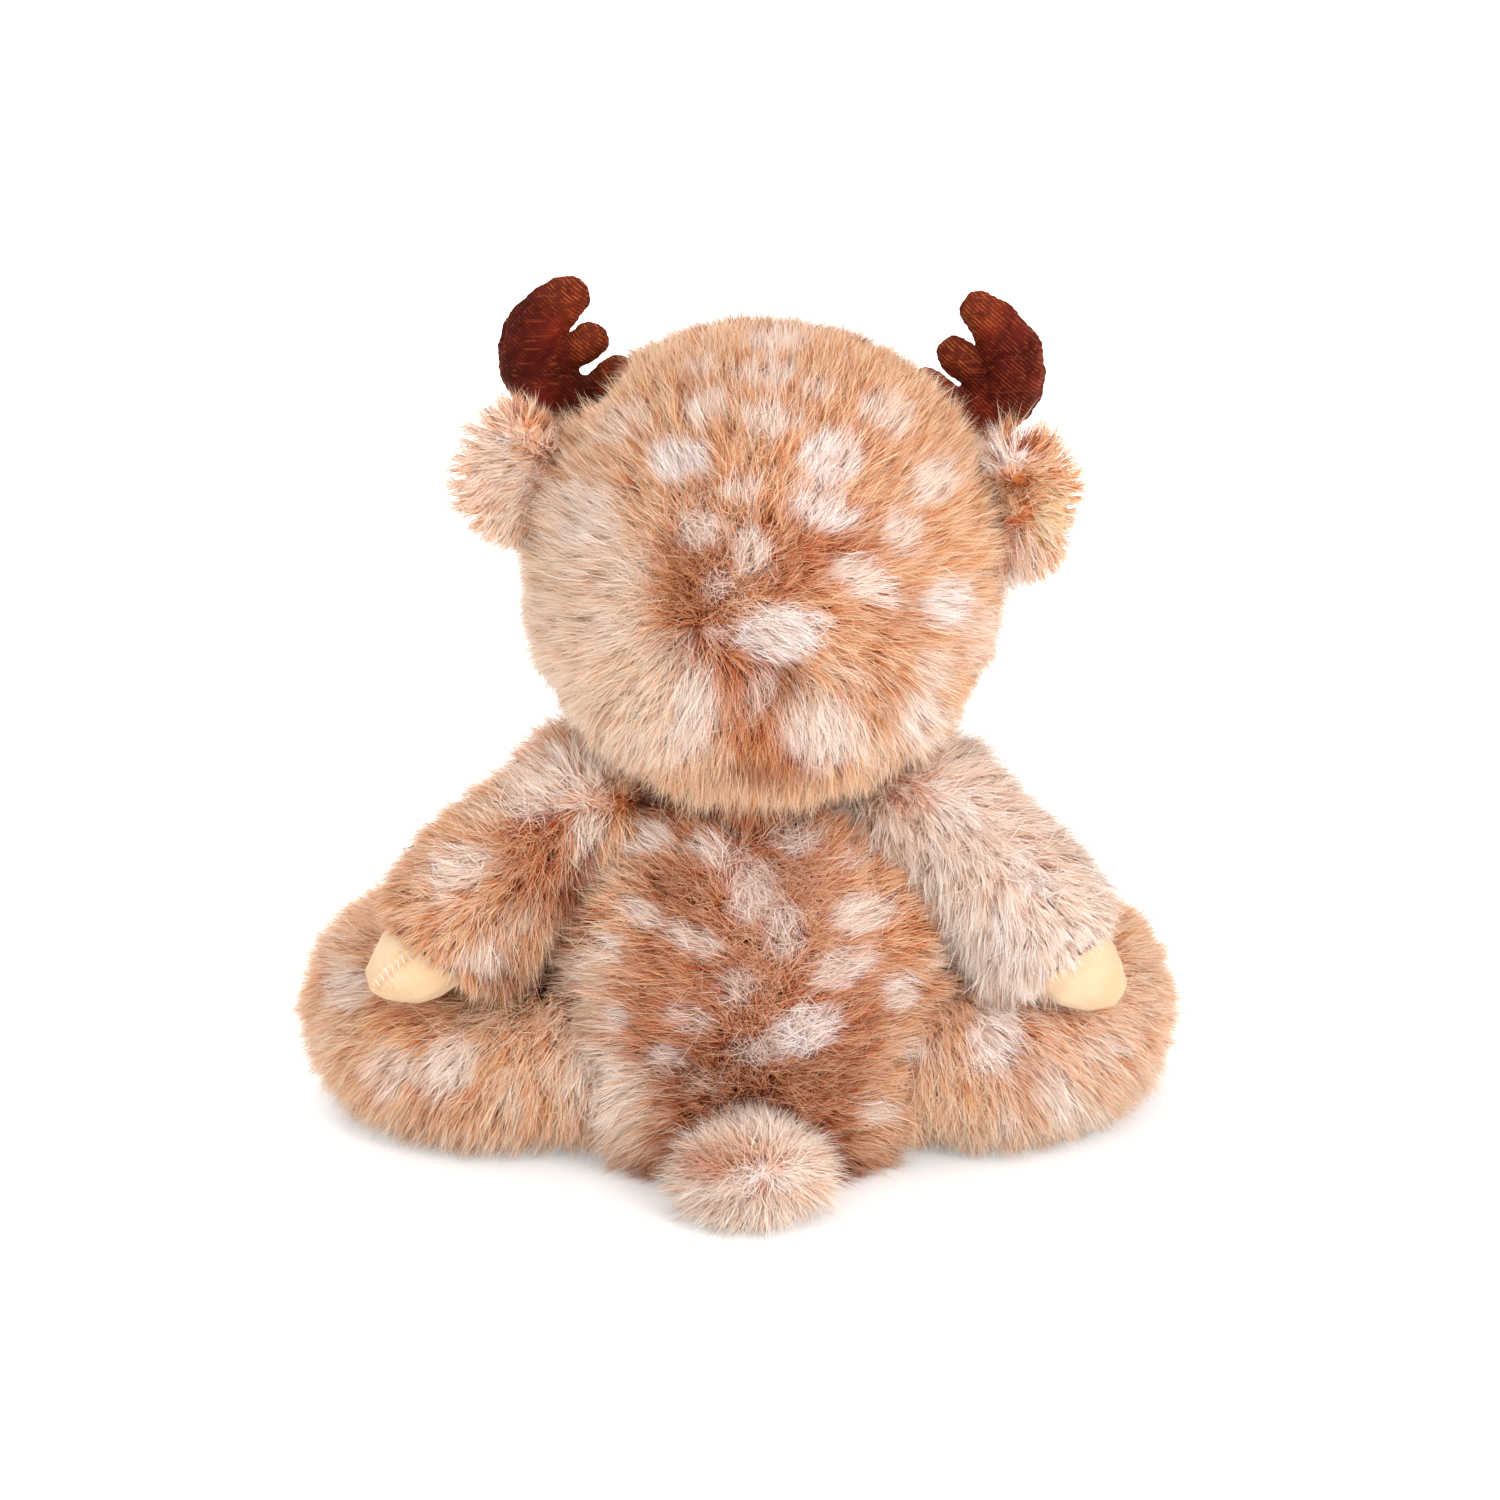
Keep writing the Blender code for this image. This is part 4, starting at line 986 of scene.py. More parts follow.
def head_fall(points):
    """Out from the middle of the head and down behind, and away from the nose on the face."""
    outward = (points - HEAD_MIDDLE) * (1.0, 0.0, 1.0) + (0.0, 12.0, -30.0)
    from_nose = points - NOSE + (0.0, 10.0, 0.0)
    return mixed(unit(outward), unit(from_nose), smoothstep(5, 40, -points[:, 1])[:, None])


def torso_fall(points):
    return points * (0.015, 0.0, 0.0) + (0.0, 0.0, -1.0)


def leg_fall(points):
    return np.sign(points[:, :1]) * (0.45, 0.0, 0.0) + (0.0, -1.0, -0.25)


def arm_fall(points):
    return np.sign(points[:, :1]) * (0.8, 0.0, 0.0) + (0.0, -0.1, -0.8)


def ear_fall(points):
    return np.sign(points[:, :1]) * (1.0, 0.0, 0.0) + (0.0, -0.2, 0.3)


def muzzle_fall(points):
    return points - MUZZLE_FRONT + (0.0, 10.0, 0.0)


def tail_flow(points, normals):
    """Out from the root of the tail, which is combed alike on every side."""
    return unit(flattened(points - TAIL_ROOT, normals) + (0.0, 0.0, 0.5))


# The pile

# A coat: its functions and flow table, strands in a square millimetre, their length and width, the strands
# in a lock, and the lock's radius
Coat = namedtuple("Coat", "paint flow fall density length width in_lock lock_radius")
LEG_COAT = Coat(leg_paint, LEG_FLOW, leg_fall, 4.8, 12.6, 0.22, 6, 0.66)
ARM_COAT = Coat(arm_paint, ARM_FLOW, arm_fall, 5.2, 12.2, 0.21, 6, 0.62)
EAR_COAT = Coat(ear_paint, EAR_FLOW, ear_fall, 6.4, 10.5, 0.20, 6, 0.55)
COATS = {
    "head": Coat(head_paint, HEAD_FLOW, head_fall, 5.4, 12.6, 0.21, 6, 0.62),
    "torso": Coat(torso_paint, TORSO_FLOW, torso_fall, 5.0, 13.0, 0.22, 6, 0.66),
    "leg_left": LEG_COAT,
    "leg_right": LEG_COAT,
    "arm_left": ARM_COAT,
    "arm_right": ARM_COAT,
    "ear_left": EAR_COAT,
    "ear_right": EAR_COAT,
    "neck": Coat(torso_paint, TORSO_FLOW, torso_fall, 3.4, 12.6, 0.24, 6, 0.8),
    "tail": Coat(tail_paint, None, None, 7.0, 12.4, 0.20, 6, 0.6),
    "muzzle": Coat(muzzle_paint, [(0, 0, 0, 1)], muzzle_fall, 6.0, 3.0, 0.18, 5, 0.4),
}
# Arrays with a row for each lock: root, direction out of the skin, direction of the comb, way from the middle
# of its tuft, length, share of loose strands
Locks = namedtuple("Locks", "roots out comb from_tuft long loose")
# Arrays with a row for each strand: three points along it, its two directions, direction out of the skin,
# number of its lock, and whether it is a guard hair
Strands = namedtuple("Strands", "rings ways out owner guard")

STRAND_POINTS = 5  # two at the root, two in the middle, and the tip
POINT_RINGS = (0, 0, 1, 1, 2)
HALF_WIDTHS = (0.5, 0.38)
STRAND_FACES = (0, 1, 3, 2, 2, 3, 4)  # a face of four corners and one of three
FACE_STARTS = (0, 4)
FLOOR_GAP = 0.35  # the lowest that a strand hangs, in millimetres
BARE_FLOOR = 2.2  # under this height, a skin that faces the floor is nearly bare
LIFTS = (66.0, 40.0)  # degrees from the skin, in a strand's lower and upper half
TAIL_LIFT = 8.0
LOCKS_IN_TUFT = 8
TUFT_LEANS = (0.15, 0.9)  # least and most share of the way to the middle of its tuft that a lock leans
TUFT_LENGTHS = (0.8, 1.2)
LEAN_SHARES = (0.3, 0.7)  # of that lean, in a strand's lower and upper half
LOCK_LENGTHS = (0.85, 1.12)
STRAND_LENGTHS = (0.74, 1.06)
MOST_GATHER = 0.9  # of the way to its lock's middle, at a strand's tip
SAG, MORE_SAG = 0.10, 0.12  # of a strand's lower half, and added in its upper half
LOCK_TILT = 6.0  # degrees
# Spreads of a held strand and of a loose one: turn in radians, tilt in degrees, bend to the side
TWIRL, LOOSE_TWIRL = 0.10, 0.9
TILT, LOOSE_TILT = 6.0, 12.0
BEND, LOOSE_BEND = 0.12, 0.5
LOOSE_LIFT = -12.0  # degrees
LOOSE_LEAN = 0.2  # the share of its tuft's lean that a loose strand follows
LOOSE_SHARE = 0.07  # of a tidy coat's strands
# Guard hairs stand by themselves between the locks, a little longer, wider and paler.
GUARD_SHARE = 0.17
GUARD_LENGTH = 1.16
GUARD_WIDTH = 1.2
GUARD_TWIRL = 2.2
GUARD_LIFT = 6.0  # degrees
# Powers of the coat's colour at a strand's root, middle and tip. The dark root is painted shade deep in the
# pile, as well as the fur's own darker root; the pale tip is the fur's own.
SHADES = (2.6, 1.38, 0.70)
GUARD_SHADES = (1.3, 0.62, 0.34)
# How far round a firm piece the pile is shorter, and the least share of its length
WIDE_REACH, REACH = 14.0, 9.0
SHORT, NEARLY_FULL = 0.42, 0.85


def pile_length(name, points, normals, firm):
    """The strand length's share at each root: short round eyes, nose, hooves and face, full elsewhere."""
    share = np.ones(len(points))
    if name == "head":
        share = 1 - 0.42 * smoothstep(20, 52, -points[:, 1])
        share *= 1 - 0.22 * smoothstep(226, 242, points[:, 2])
        share *= 1 - 0.35 * smoothstep(150, 128, points[:, 2]) * smoothstep(20, 0, points[:, 1])
    places = seen(points)
    back = smoothstep(-0.75, -0.15, normals @ TO_CAMERA)
    for *patch, factor in LENGTHS.get(name.split("_")[0], []):
        share *= 1 + (factor - 1) * in_patch(places, patch, 0.5) * back
    for label, (tree, low, high) in firm.items():
        reach = WIDE_REACH if label.startswith(("hand", "foot")) else REACH
        least = SHORT if label.startswith(("hand", "foot", "eye", "nose")) else NEARLY_FULL
        close = ((points > low - reach) & (points < high + reach)).all(1)
        for i in np.nonzero(close)[0]:
            far = tree.find_nearest(Vector(points[i]), reach)[3]
            if far is not None:
                share[i] *= least + (1 - least) * min(1.0, max(0.0, far - 1.0) / (reach - 1.0))
    return share


def scattered(skin, coat, rng):
    """Roots spread evenly over the skin, one for each lock, and the directions out of it."""
    verts, faces, normals = arrays(skin)
    corners = verts[faces]
    area = np.linalg.norm(np.cross(corners[:, 1] - corners[:, 0], corners[:, 2] - corners[:, 0]), axis=1) / 2
    count = int(area.sum() * coat.density * PILE_SHARE / coat.in_lock)
    pick = rng.choice(len(faces), count, p=area / area.sum())
    a, b = rng.random((2, count))
    flip = a + b > 1
    a[flip], b[flip] = 1 - a[flip], 1 - b[flip]
    shares = np.stack([1 - a - b, a, b], axis=1)[..., None]
    return (corners[pick] * shares).sum(1), unit((normals[faces[pick]] * shares).sum(1))


def with_room(name, roots, out, blockers, rng):
    """True for each root that isn't against the floor, inside a neighbour or behind the ear's lining."""
    keep = ~((roots[:, 2] < BARE_FLOOR) & (out[:, 2] < -0.75) & (rng.random(len(roots)) < 0.8))
    for blocker in blockers:
        keep &= ~inside(blocker, roots, 0.4)
    if name.startswith("ear"):
        low, high = box_mm("ear_lining_" + name[4:])
        covered = (((roots - (low + high) / 2) / (high - low) * 2)[:, ::2] ** 2).sum(1) < 1.0
        keep &= ~(covered & (out[:, 1] < -0.3))
    return keep


def combed(coat, roots, out, seed, rng):
    """Unit directions in which the locks lie along the skin."""
    if coat.fall is None:
        comb = tail_flow(roots, out)
    else:
        comb = turned_flow(roots, out, coat.flow, coat.fall(roots))
    comb = comb + wander(roots, 24.0, seed + 3) * 0.20 + wander(roots, 8.0, seed + 4) * 0.16
    comb = comb + rng.normal(0, 0.16, comb.shape)
    return unit(flattened(comb, out))


def tuft_middles(roots):
    """For each lock, the number of the lock in the middle of its tuft."""
    count = max(len(roots) // LOCKS_IN_TUFT, 1)
    tree = KDTree(count)
    for i in range(count):
        tree.insert(roots[i], i)
    tree.balance()
    return np.array([tree.find(root)[1] for root in roots])


def looseness(name, roots, out):
    """The share of loose strands at each root: few, and more where the photograph shows a tangle."""
    loose = np.full(len(roots), LOOSE_SHARE)
    if name != "muzzle":
        places = seen(roots)
        shown = smoothstep(0.0, 0.3, out @ TO_CAMERA)
        for x, y, radius, share in TANGLES:
            far = np.hypot(places[:, 0] - x, places[:, 1] - y) / radius
            loose = np.maximum(loose, share * (1 - smoothstep(0.4, 1.1, far)) * shown)
    return loose


def planted(name, coat, blockers, firm, seed, rng):
    """The coat's locks, which lean together into tufts a few millimetres wide, each of its own length."""
    roots, out = scattered(skins[name], coat, rng)
    keep = with_room(name, roots, out, blockers, rng)
    roots, out = roots[keep], out[keep]
    comb = combed(coat, roots, out, seed, rng)
    long = coat.length * pile_length(name, roots, out, firm) * rng.uniform(*LOCK_LENGTHS, len(roots))
    middle = tuft_middles(roots)
    from_tuft = roots - roots[middle]
    from_tuft *= rng.uniform(*TUFT_LEANS, len(roots))[middle][:, None] if name != "muzzle" else 0.0
    long = long * rng.uniform(*TUFT_LENGTHS, len(roots))[middle]
    return Locks(roots, out, comb, from_tuft, long, looseness(name, roots, out))


def drawn(free, loose_spread, spread, rng):
    """A random value for each strand, of one spread for loose strands and of another for the rest."""
    return np.where(free, rng.normal(0, loose_spread, len(free)), rng.normal(0, spread, len(free)))


def raised(coat, locks, rng):
    """The strands of every lock, each bent once on its way from the root to the tip."""
    owner = np.repeat(np.arange(len(locks.roots)), coat.in_lock)
    count = len(owner)
    out, comb = locks.out[owner], locks.comb[owner]
    side = np.cross(out, comb)
    angle = rng.uniform(0, 2 * math.pi, count)
    reach = coat.lock_radius * np.sqrt(rng.random(count))
    offset = (np.cos(angle) * reach)[:, None] * comb + (np.sin(angle) * reach)[:, None] * side
    free = rng.random(count) < locks.loose[owner]
    guard = free | (rng.random(count) < GUARD_SHARE)
    gather = np.where(guard, 0.0, rng.uniform(0.0, MOST_GATHER, len(locks.roots))[owner])
    twirl = drawn(free, LOOSE_TWIRL, TWIRL, rng) * np.where(guard & ~free, GUARD_TWIRL, 1.0)
    held = np.where(free, LOOSE_LEAN, 1.0)
    direction = unit(comb * np.cos(twirl)[:, None] + side * np.sin(twirl)[:, None])
    long = locks.long[owner] * rng.uniform(*STRAND_LENGTHS, count) * np.where(guard, GUARD_LENGTH, 1.0)
    tilt = rng.normal(0, LOCK_TILT, len(locks.roots))[owner] + (TAIL_LIFT if coat.fall is None else 0.0)
    tilt = tilt + (drawn(free, LOOSE_TILT, TILT, rng) + np.where(free, LOOSE_LIFT, GUARD_LIFT * guard))
    bend = drawn(free, LOOSE_BEND, BEND, rng)
    rings = [locks.roots[owner] + offset]
    ways = []
    for half, (degrees, lean) in enumerate(zip(LIFTS, LEAN_SHARES)):
        lift = np.radians(np.clip(degrees + tilt, 4, 88))[:, None]
        way = direction * np.cos(lift) + out * np.sin(lift) + side * (bend * half)[:, None]
        way = unit(way + (0.0, 0.0, -SAG - MORE_SAG * half))
        point = rings[-1] + way * (long / 2)[:, None] - offset * (gather / 2)[:, None]
        rings.append(point - locks.from_tuft[owner] * (held * lean)[:, None])
        ways.append(way)
    rings = np.stack(rings, axis=1)
    low = rings[:, :, 2] < FLOOR_GAP
    rings[:, :, 2] = np.where(low, FLOOR_GAP + 0.15 * rng.random(rings.shape[:2]), rings[:, :, 2])
    return Strands(rings, np.stack(ways, axis=1), out, owner, guard)


def clear_of(firm, strands, in_lock):
    """The strands of the locks that don't run into a firm piece."""
    guide = strands.rings.reshape(-1, in_lock, 3, 3).mean(1)
    bad = np.zeros(len(guide), bool)
    for block in firm.values():
        for ring in range(3):
            bad |= inside(block, guide[:, ring], 0.15)
    left = ~bad[strands.owner]
    return Strands(*(rows_of[left] for rows_of in strands))


def ribbons(strands, width, rng):
    """Each strand as a flat ribbon that faces outward: (points, normals that are partly the skin's)."""
    count, out = len(strands.rings), strands.out
    theta = rng.normal(0, 0.7, count).clip(-1.2, 1.2)
    wide = width * PILE_WIDENING * rng.uniform(0.75, 1.2, count) * np.where(strands.guard, GUARD_WIDTH, 1.0)
    points = np.empty((count, STRAND_POINTS, 3))
    shade = np.empty((count, STRAND_POINTS, 3))
    for ring in range(3):
        way = strands.ways[:, max(ring - 1, 0)]
        flat = unit(np.cross(way, out))
        edge = flat * np.cos(theta)[:, None] + np.cross(flat, way) * np.sin(theta)[:, None]
        facing = unit(np.cross(edge, way))
        facing *= np.where((facing * out).sum(-1) < 0, -1.0, 1.0)[:, None]
        shade[:, 2 * ring : 2 * ring + 2] = unit(out * 0.75 + facing * 0.25)[:, None]
        if ring < 2:
            half = edge * (wide * HALF_WIDTHS[ring])[:, None]
            points[:, 2 * ring] = strands.rings[:, ring] - half
            points[:, 2 * ring + 1] = strands.rings[:, ring] + half
    points[:, -1] = strands.rings[:, -1]
    first = np.cross(points[:, 1] - points[:, 0], points[:, 2] - points[:, 0])
    turn = (first * out).sum(-1) < 0
    points[turn, :4] = points[turn][:, [1, 0, 3, 2]]
    return points, shade


def tinted(coat, locks, strands, seed, rng):
    """The colours of each strand's points. Locks differ in depth from their neighbours, strands less so."""
    count = len(strands.rings)
    colour = coat.paint(strands.rings[:, 1] * 0.5 + strands.rings[:, 2] * 0.5, strands.out, seed + 11)
    depth = wander(locks.roots, 7.0, seed + 5)[:, 0] * 0.22 + rng.normal(0, 0.20, len(locks.roots))
    depth = np.exp(depth)[strands.owner] * np.exp(rng.normal(0, 0.10, count))
    warm = rng.normal(0, 0.02, count)
    colour = colour * np.stack([1 + warm, np.ones(count), 1 - warm], axis=1)
    colours = np.empty((count, STRAND_POINTS, 3))
    # Each strand darkens towards its root with painted shade and pales towards its tip.
    for point, ring in enumerate(POINT_RINGS):
        power = np.where(strands.guard, GUARD_SHADES[ring], SHADES[ring] * depth)
        colours[:, point] = deepened(colour, power[:, None])
    return np.clip(colours, 0, 1)


def grow(name, seed, blockers, firm):
    """The strands of one coat: (points of 5 a strand, normals, colours)."""
    coat = COATS[name]
    rng = np.random.default_rng(seed)
    locks = planted(name, coat, blockers, firm, seed, rng)
    strands = clear_of(firm, raised(coat, locks, rng), coat.in_lock)
    points, shade = ribbons(strands, coat.width, rng)
    return points, shade, tinted(coat, locks, strands, seed, rng)


def repeated(count, step, pattern):
    """The numbers of a pattern for each strand in turn, each time a step further on."""
    return (np.arange(count)[:, None] * step + np.array(pattern)).ravel().astype(np.int32)


def pile_object(name, points, shade, colours, material):
    """One mesh of ribbons, with the coat's colours and normals on its vertices."""
    count = len(points)
    mesh = bpy.data.meshes.new(name)
    mesh.vertices.add(count * STRAND_POINTS)
    mesh.vertices.foreach_set("co", (points / MM).astype(np.float32).ravel())
    corners = repeated(count, STRAND_POINTS, STRAND_FACES)
    mesh.loops.add(len(corners))
    mesh.loops.foreach_set("vertex_index", corners)
    mesh.polygons.add(count * len(FACE_STARTS))
    mesh.polygons.foreach_set("loop_start", repeated(count, len(STRAND_FACES), FACE_STARTS))
    mesh.polygons.foreach_set("use_smooth", np.ones(count * len(FACE_STARTS), bool))
    mesh.update(calc_edges=True)
    paint_points(mesh, "pile", colours.reshape(-1, 3))
    mesh.normals_split_custom_set_from_vertices(shade.reshape(-1, 3).astype(np.float32))
    mesh.materials.append(material)
    return linked(name, mesh)


def paint_skin(obj, paint, material):
    """The cloth under the pile: the coat's own pattern on the vertices, darkened as painted shade under the
    pile.
    """
    points, _, normals = arrays(obj)
    paint_points(obj.data, "pile", deepened(paint(points + normals * 4, normals, 5), 1.5) * 0.95)
    covered_with(obj, material)


# The soft skins in place

fur = fur_material("fur", 0.62, 0.04)
plush = fur_material("short plush", 0.7, 0.08)
backing = fur_material("fur backing", 0.85, 0.03)
skins = {}
for part, (sources, hidden, voxel, depth) in SKINS.items():
    skin = soft_copy(f"{part}_fur_skin", sources, voxel, SMOOTH_BEFORE)
    shrunk(skin, depth, voxel, SWELLS.get(part, []))
    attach(skin, body_of(part))
    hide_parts(*sources, *hidden)
    skins[part] = skin

# Antlers

ANTLER_REACH = 40.0
ANTLER_RADIUS = 9.8
ANTLER_FLATNESS = 0.72
ANTLER_VOXEL, ANTLER_ROUNDS = 0.6, 8
# The tines as in the CAD model, with a fuller inner tine: (out, towards the crown, radius), as shares
ANTLER_TINES = (
    (
        (0.0, 0.0, 0.70), (0.20, -0.04, 0.86), (0.425, -0.06, 1.0), (0.625, 0.02, 1.02),
        (0.745, 0.20, 0.92), (0.755, 0.375, 0.78), (0.735, 0.50, 0.68), (0.70, 0.60, 0.56),
    ),
    ((0.52, 0.10, 0.52), (0.42, 0.30, 0.53), (0.385, 0.41, 0.52)),
    ((0.20, 0.00, 0.60), (0.13, 0.17, 0.56), (0.085, 0.31, 0.55)),
)
TINE_STEPS = 7  # between two rows of a tine


def smooth_rows(given, steps):
    """Rows joined by a smooth curve, Catmull-Rom, with this many steps between two rows."""
    given = np.array(given)
    ends = np.vstack([2 * given[0] - given[1], given, 2 * given[-1] - given[-2]])
    found = []
    for i in range(1, len(ends) - 2):
        a, b, c, d = ends[i - 1 : i + 3]
        for t in np.arange(steps) / steps:
            square = 2 * b + (c - a) * t + (2 * a - 5 * b + 4 * c - d) * t * t
            found.append(0.5 * (square + (3 * b - a - 3 * c + d) * t**3))
    return np.array(found + [given[-1]])


def antler_form(name, root, out, crown):
    """(the antler as one skin, the place and size of each tine's tip)."""
    shape = bmesh.new()
    tips = []
    for tine in ANTLER_TINES:
        for go, rise, radius in smooth_rows(tine, TINE_STEPS):
            place = root + out * go * ANTLER_REACH + crown * rise * ANTLER_REACH
            size = radius * ANTLER_RADIUS
            stretch = Matrix.Diagonal((size / MM, size * ANTLER_FLATNESS / MM, size / MM, 1))
            matrix = Matrix.Translation(Vector(place / MM)) @ stretch
            bmesh.ops.create_icosphere(shape, subdivisions=3, radius=1.0, matrix=matrix)
        tips.append((place, size))
    return one_skin(released(name, shape), ANTLER_VOXEL, ANTLER_ROUNDS), tips


def antler_relief(obj, root, out, tips):
    """Works the seam and folds into the antler, and paints sheen, a painted highlight, round the tips and
    along the seam.
    """
    points, _, normals = arrays(obj)
    # The two faces meet in a seam round the edge: a raised lip beside a narrow groove.
    edge = smoothstep(0.55, 0.9, 1 - np.abs(normals[:, 1]))
    far = np.abs(points[:, 1] - root[1])
    seam = ridge(far, 0.6) * 0.6 - ridge(far - 1.35, 0.55) * 0.45
    points += normals * (seam * edge * smoothstep(2, 9, (points - root) @ out))[:, None]
    # Puckers along the seam, crushed places and shallow folds in the pile
    points += normals * (wander(points, 3.4, 30)[:, :1] * 0.10 * edge[:, None])
    points += normals * (wander(points, 17.0, 31)[:, :1] * 0.40 + wander(points, 7.0, 32)[:, :1] * 0.16)
    # A crease where each tine leaves the beam
    for tip, _ in tips[1:]:
        fork = root + (tip - root) * 0.45 + out * 3.0
        points -= normals * (ridge(np.linalg.norm((points - fork)[:, [0, 2]], axis=1), 4.0) * 0.5)[:, None]
    put_points(obj, points)
    # Painted highlight: sheen round each tip and along the seam, with random patches.
    painted_sheen = np.zeros(len(points))
    for tip, size in tips:
        painted_sheen = np.maximum(painted_sheen, 1 - smoothstep(size * 0.4, size * 2.1, np.linalg.norm(points - tip, axis=1)))
    painted_sheen = np.maximum(painted_sheen, edge * 0.35)
    painted_sheen = np.clip(painted_sheen + wander(points, 9.0, 33)[:, 0] * 0.18, 0, 1)
    paint_points(obj.data, "painted_sheen", painted_sheen[:, None])


def antler(side, sign, material):
    joint = next(j for j in frame["joints"] if j["name"] == f"antler_{side}_bend")
    root = np.array(joint["pos_m"]) * MM
    crown = np.array(joint["axis"]) * np.sign(joint["axis"][2])
    out = sign * np.array([crown[2], 0.0, -crown[0]])
    obj, tips = antler_form(f"antler_{side}_velvet", root, out, crown)
    antler_relief(obj, root, out, tips)
    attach(covered_with(obj, material), f"antler_{side}")
    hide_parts(f"antler_{side}", f"antler_stuffing_{side}")
    return obj


antlers = {
    side: antler(side, sign, velvet_material(f"velvet {side}", rib_share))
    for side, sign, rib_share in (("left", 1.0, 0.12), ("right", -1.0, 0.38))
}

# Hooves

suede = suede_material()
thread = thread_material()
HOOF_VOXEL, HOOF_ROUNDS = 0.5, 70
# The closing seam of a hoof, in millimetres
GROOVE_WIDTH, GROOVE_DEPTH = 0.9, 0.75
LIP_FROM_SEAM, LIP_WIDTH, LIP_HEIGHT = 1.7, 0.9, 0.35
PUCKER_FROM_SEAM, PUCKER_WIDTH, PUCKER_HEIGHT, PUCKER_SPACING = 1.6, 1.9, 0.28, 2.6
SEAM_STEPS = 8  # between two given points of a seam
STITCH_EVERY = 3  # steps
STITCH_RADIUS = 0.22
STITCH_HALF = 1.15
STITCH_SHARES = (-1, -0.5, 0, 0.5, 1)  # of its half length, at the points of a stitch
STITCH_RISE = 0.18
STITCH_SINK = -0.12
# The seam of the left hand in the photograph's 1500 px frame
LEFT_SEAM_PX = [(374, 990), (385, 975), (400, 963), (414, 953), (428, 946)]
# Seams as shares of the hoof's box. Those of the feet differ only in their share across.
RIGHT_SEAM = [(0.15, 0.1, 0.1), (0.35, 0.0, 0.4), (0.6, 0.0, 0.75)]
FOOT_SEAM_ACROSS = {"left": 0.6, "right": 0.4}


def seam_line(tree, seam):
    """The seam laid on the surface, in fine steps."""
    course = [np.array(tree.find_nearest(Vector(p))[0]) for p in seam]
    line = []
    for first, last in zip(course[:-1], course[1:]):
        for i in range(SEAM_STEPS):
            line.append(np.array(tree.find_nearest(Vector(first + (last - first) * i / SEAM_STEPS))[0]))
    return np.array(line + [course[-1]])


def hoof_relief(obj, line):
    """Works the groove, the lips and the puckers of the seam into the suede, and shallow dents all over."""
    points, _, normals = arrays(obj)
    gaps = np.linalg.norm(points[:, None, :] - line[None], axis=2)
    far = gaps.min(1)
    along = np.concatenate([[0], np.cumsum(np.linalg.norm(np.diff(line, axis=0), axis=1))])[gaps.argmin(1)]
    groove = ridge(far, GROOVE_WIDTH) * GROOVE_DEPTH
    lips = ridge(far - LIP_FROM_SEAM, LIP_WIDTH) * LIP_HEIGHT
    wave = np.sin(along * 2 * math.pi / PUCKER_SPACING)
    puckers = ridge(far - PUCKER_FROM_SEAM, PUCKER_WIDTH) * PUCKER_HEIGHT * wave
    points += normals * (lips - groove + puckers)[:, None]
    points += normals * wander(points, 20.0, 41)[:, :1] * 0.3
    put_points(obj, points)


def stitches(node, tree, line):
    """Hand stitches across the seam."""
    curve = bpy.data.curves.new(node + "_stitches", "CURVE")
    curve.dimensions = "3D"
    curve.bevel_depth = STITCH_RADIUS / MM
    curve.bevel_resolution = 2
    curve.use_fill_caps = True
    curve.materials.append(thread)
    rng = np.random.default_rng(len(node))
    for place in range(STITCH_EVERY, len(line) - STITCH_EVERY, STITCH_EVERY):
        ahead = unit(line[place + 1] - line[place - 1])
        normal = np.array(tree.find_nearest(Vector(line[place]))[1])
        across = unit(np.cross(normal, ahead)) + ahead * rng.uniform(0.2, 0.7)
        spline = curve.splines.new("POLY")
        spline.points.add(len(STITCH_SHARES) - 1)
        for point, share in zip(spline.points, STITCH_SHARES):
            near, up, _, _ = tree.find_nearest(Vector(line[place] + across * share * STITCH_HALF))
            rise = STITCH_SINK if abs(share) == 1 else STITCH_RISE
            point.co = (*((np.array(near) + np.array(up) * rise) / MM), 1.0)
    return linked(curve.name, curve)


def hoof(node, body, seam, stitched=True):
    """A suede cap with a closing seam: seam is a list of points, in mm, close to its surface."""
    obj = soft_copy(node + "_suede", [node], HOOF_VOXEL, HOOF_ROUNDS)
    line = seam_line(wrapped(obj), seam)
    hoof_relief(obj, line)
    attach(covered_with(obj, suede), body)
    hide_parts(node)
    if stitched:
        sewn = stitches(node, wrapped(obj), line)
        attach(sewn, body)
    return obj


def camera_ray(x, y):
    """Origin and direction, in mm, of the photograph's ray through a pixel."""
    ahead = -TO_CAMERA * FOCAL_PX + ACROSS * (x - IMAGE_PX / 2) + UPWARD * (IMAGE_PX / 2 - y)
    return Vector(TARGET + TO_CAMERA * DISTANCE), Vector(unit(ahead))


def from_photo(node, places):
    """Points on a node's surface under these places of the photograph."""
    tree = wrapped(nodes[node])
    hits = [tree.ray_cast(*camera_ray(x, y))[0] for x, y in places]
    return [hit for hit in hits if hit is not None]


def box_points(node, shares):
    low, high = box_mm(node)
    return [low + (high - low) * np.array(share) for share in shares]


hooves = {}
seam = from_photo("hand_hoof_left", LEFT_SEAM_PX)
hooves["hand_left"] = hoof("hand_hoof_left", "arm_left", seam)
seam = box_points("hand_hoof_right", RIGHT_SEAM)
hooves["hand_right"] = hoof("hand_hoof_right", "arm_right", seam)
for side, across in FOOT_SEAM_ACROSS.items():
    node = f"foot_hoof_{side}"
    seam = box_points(node, [(across, 0.0, 0.1), (across, 0.1, 0.0), (0.5, 0.5, 0.0)])
    hooves[f"foot_{side}"] = hoof(node, f"leg_{side}", seam, stitched=False)

# Solids that keep their shape: ear linings, eyes and nose

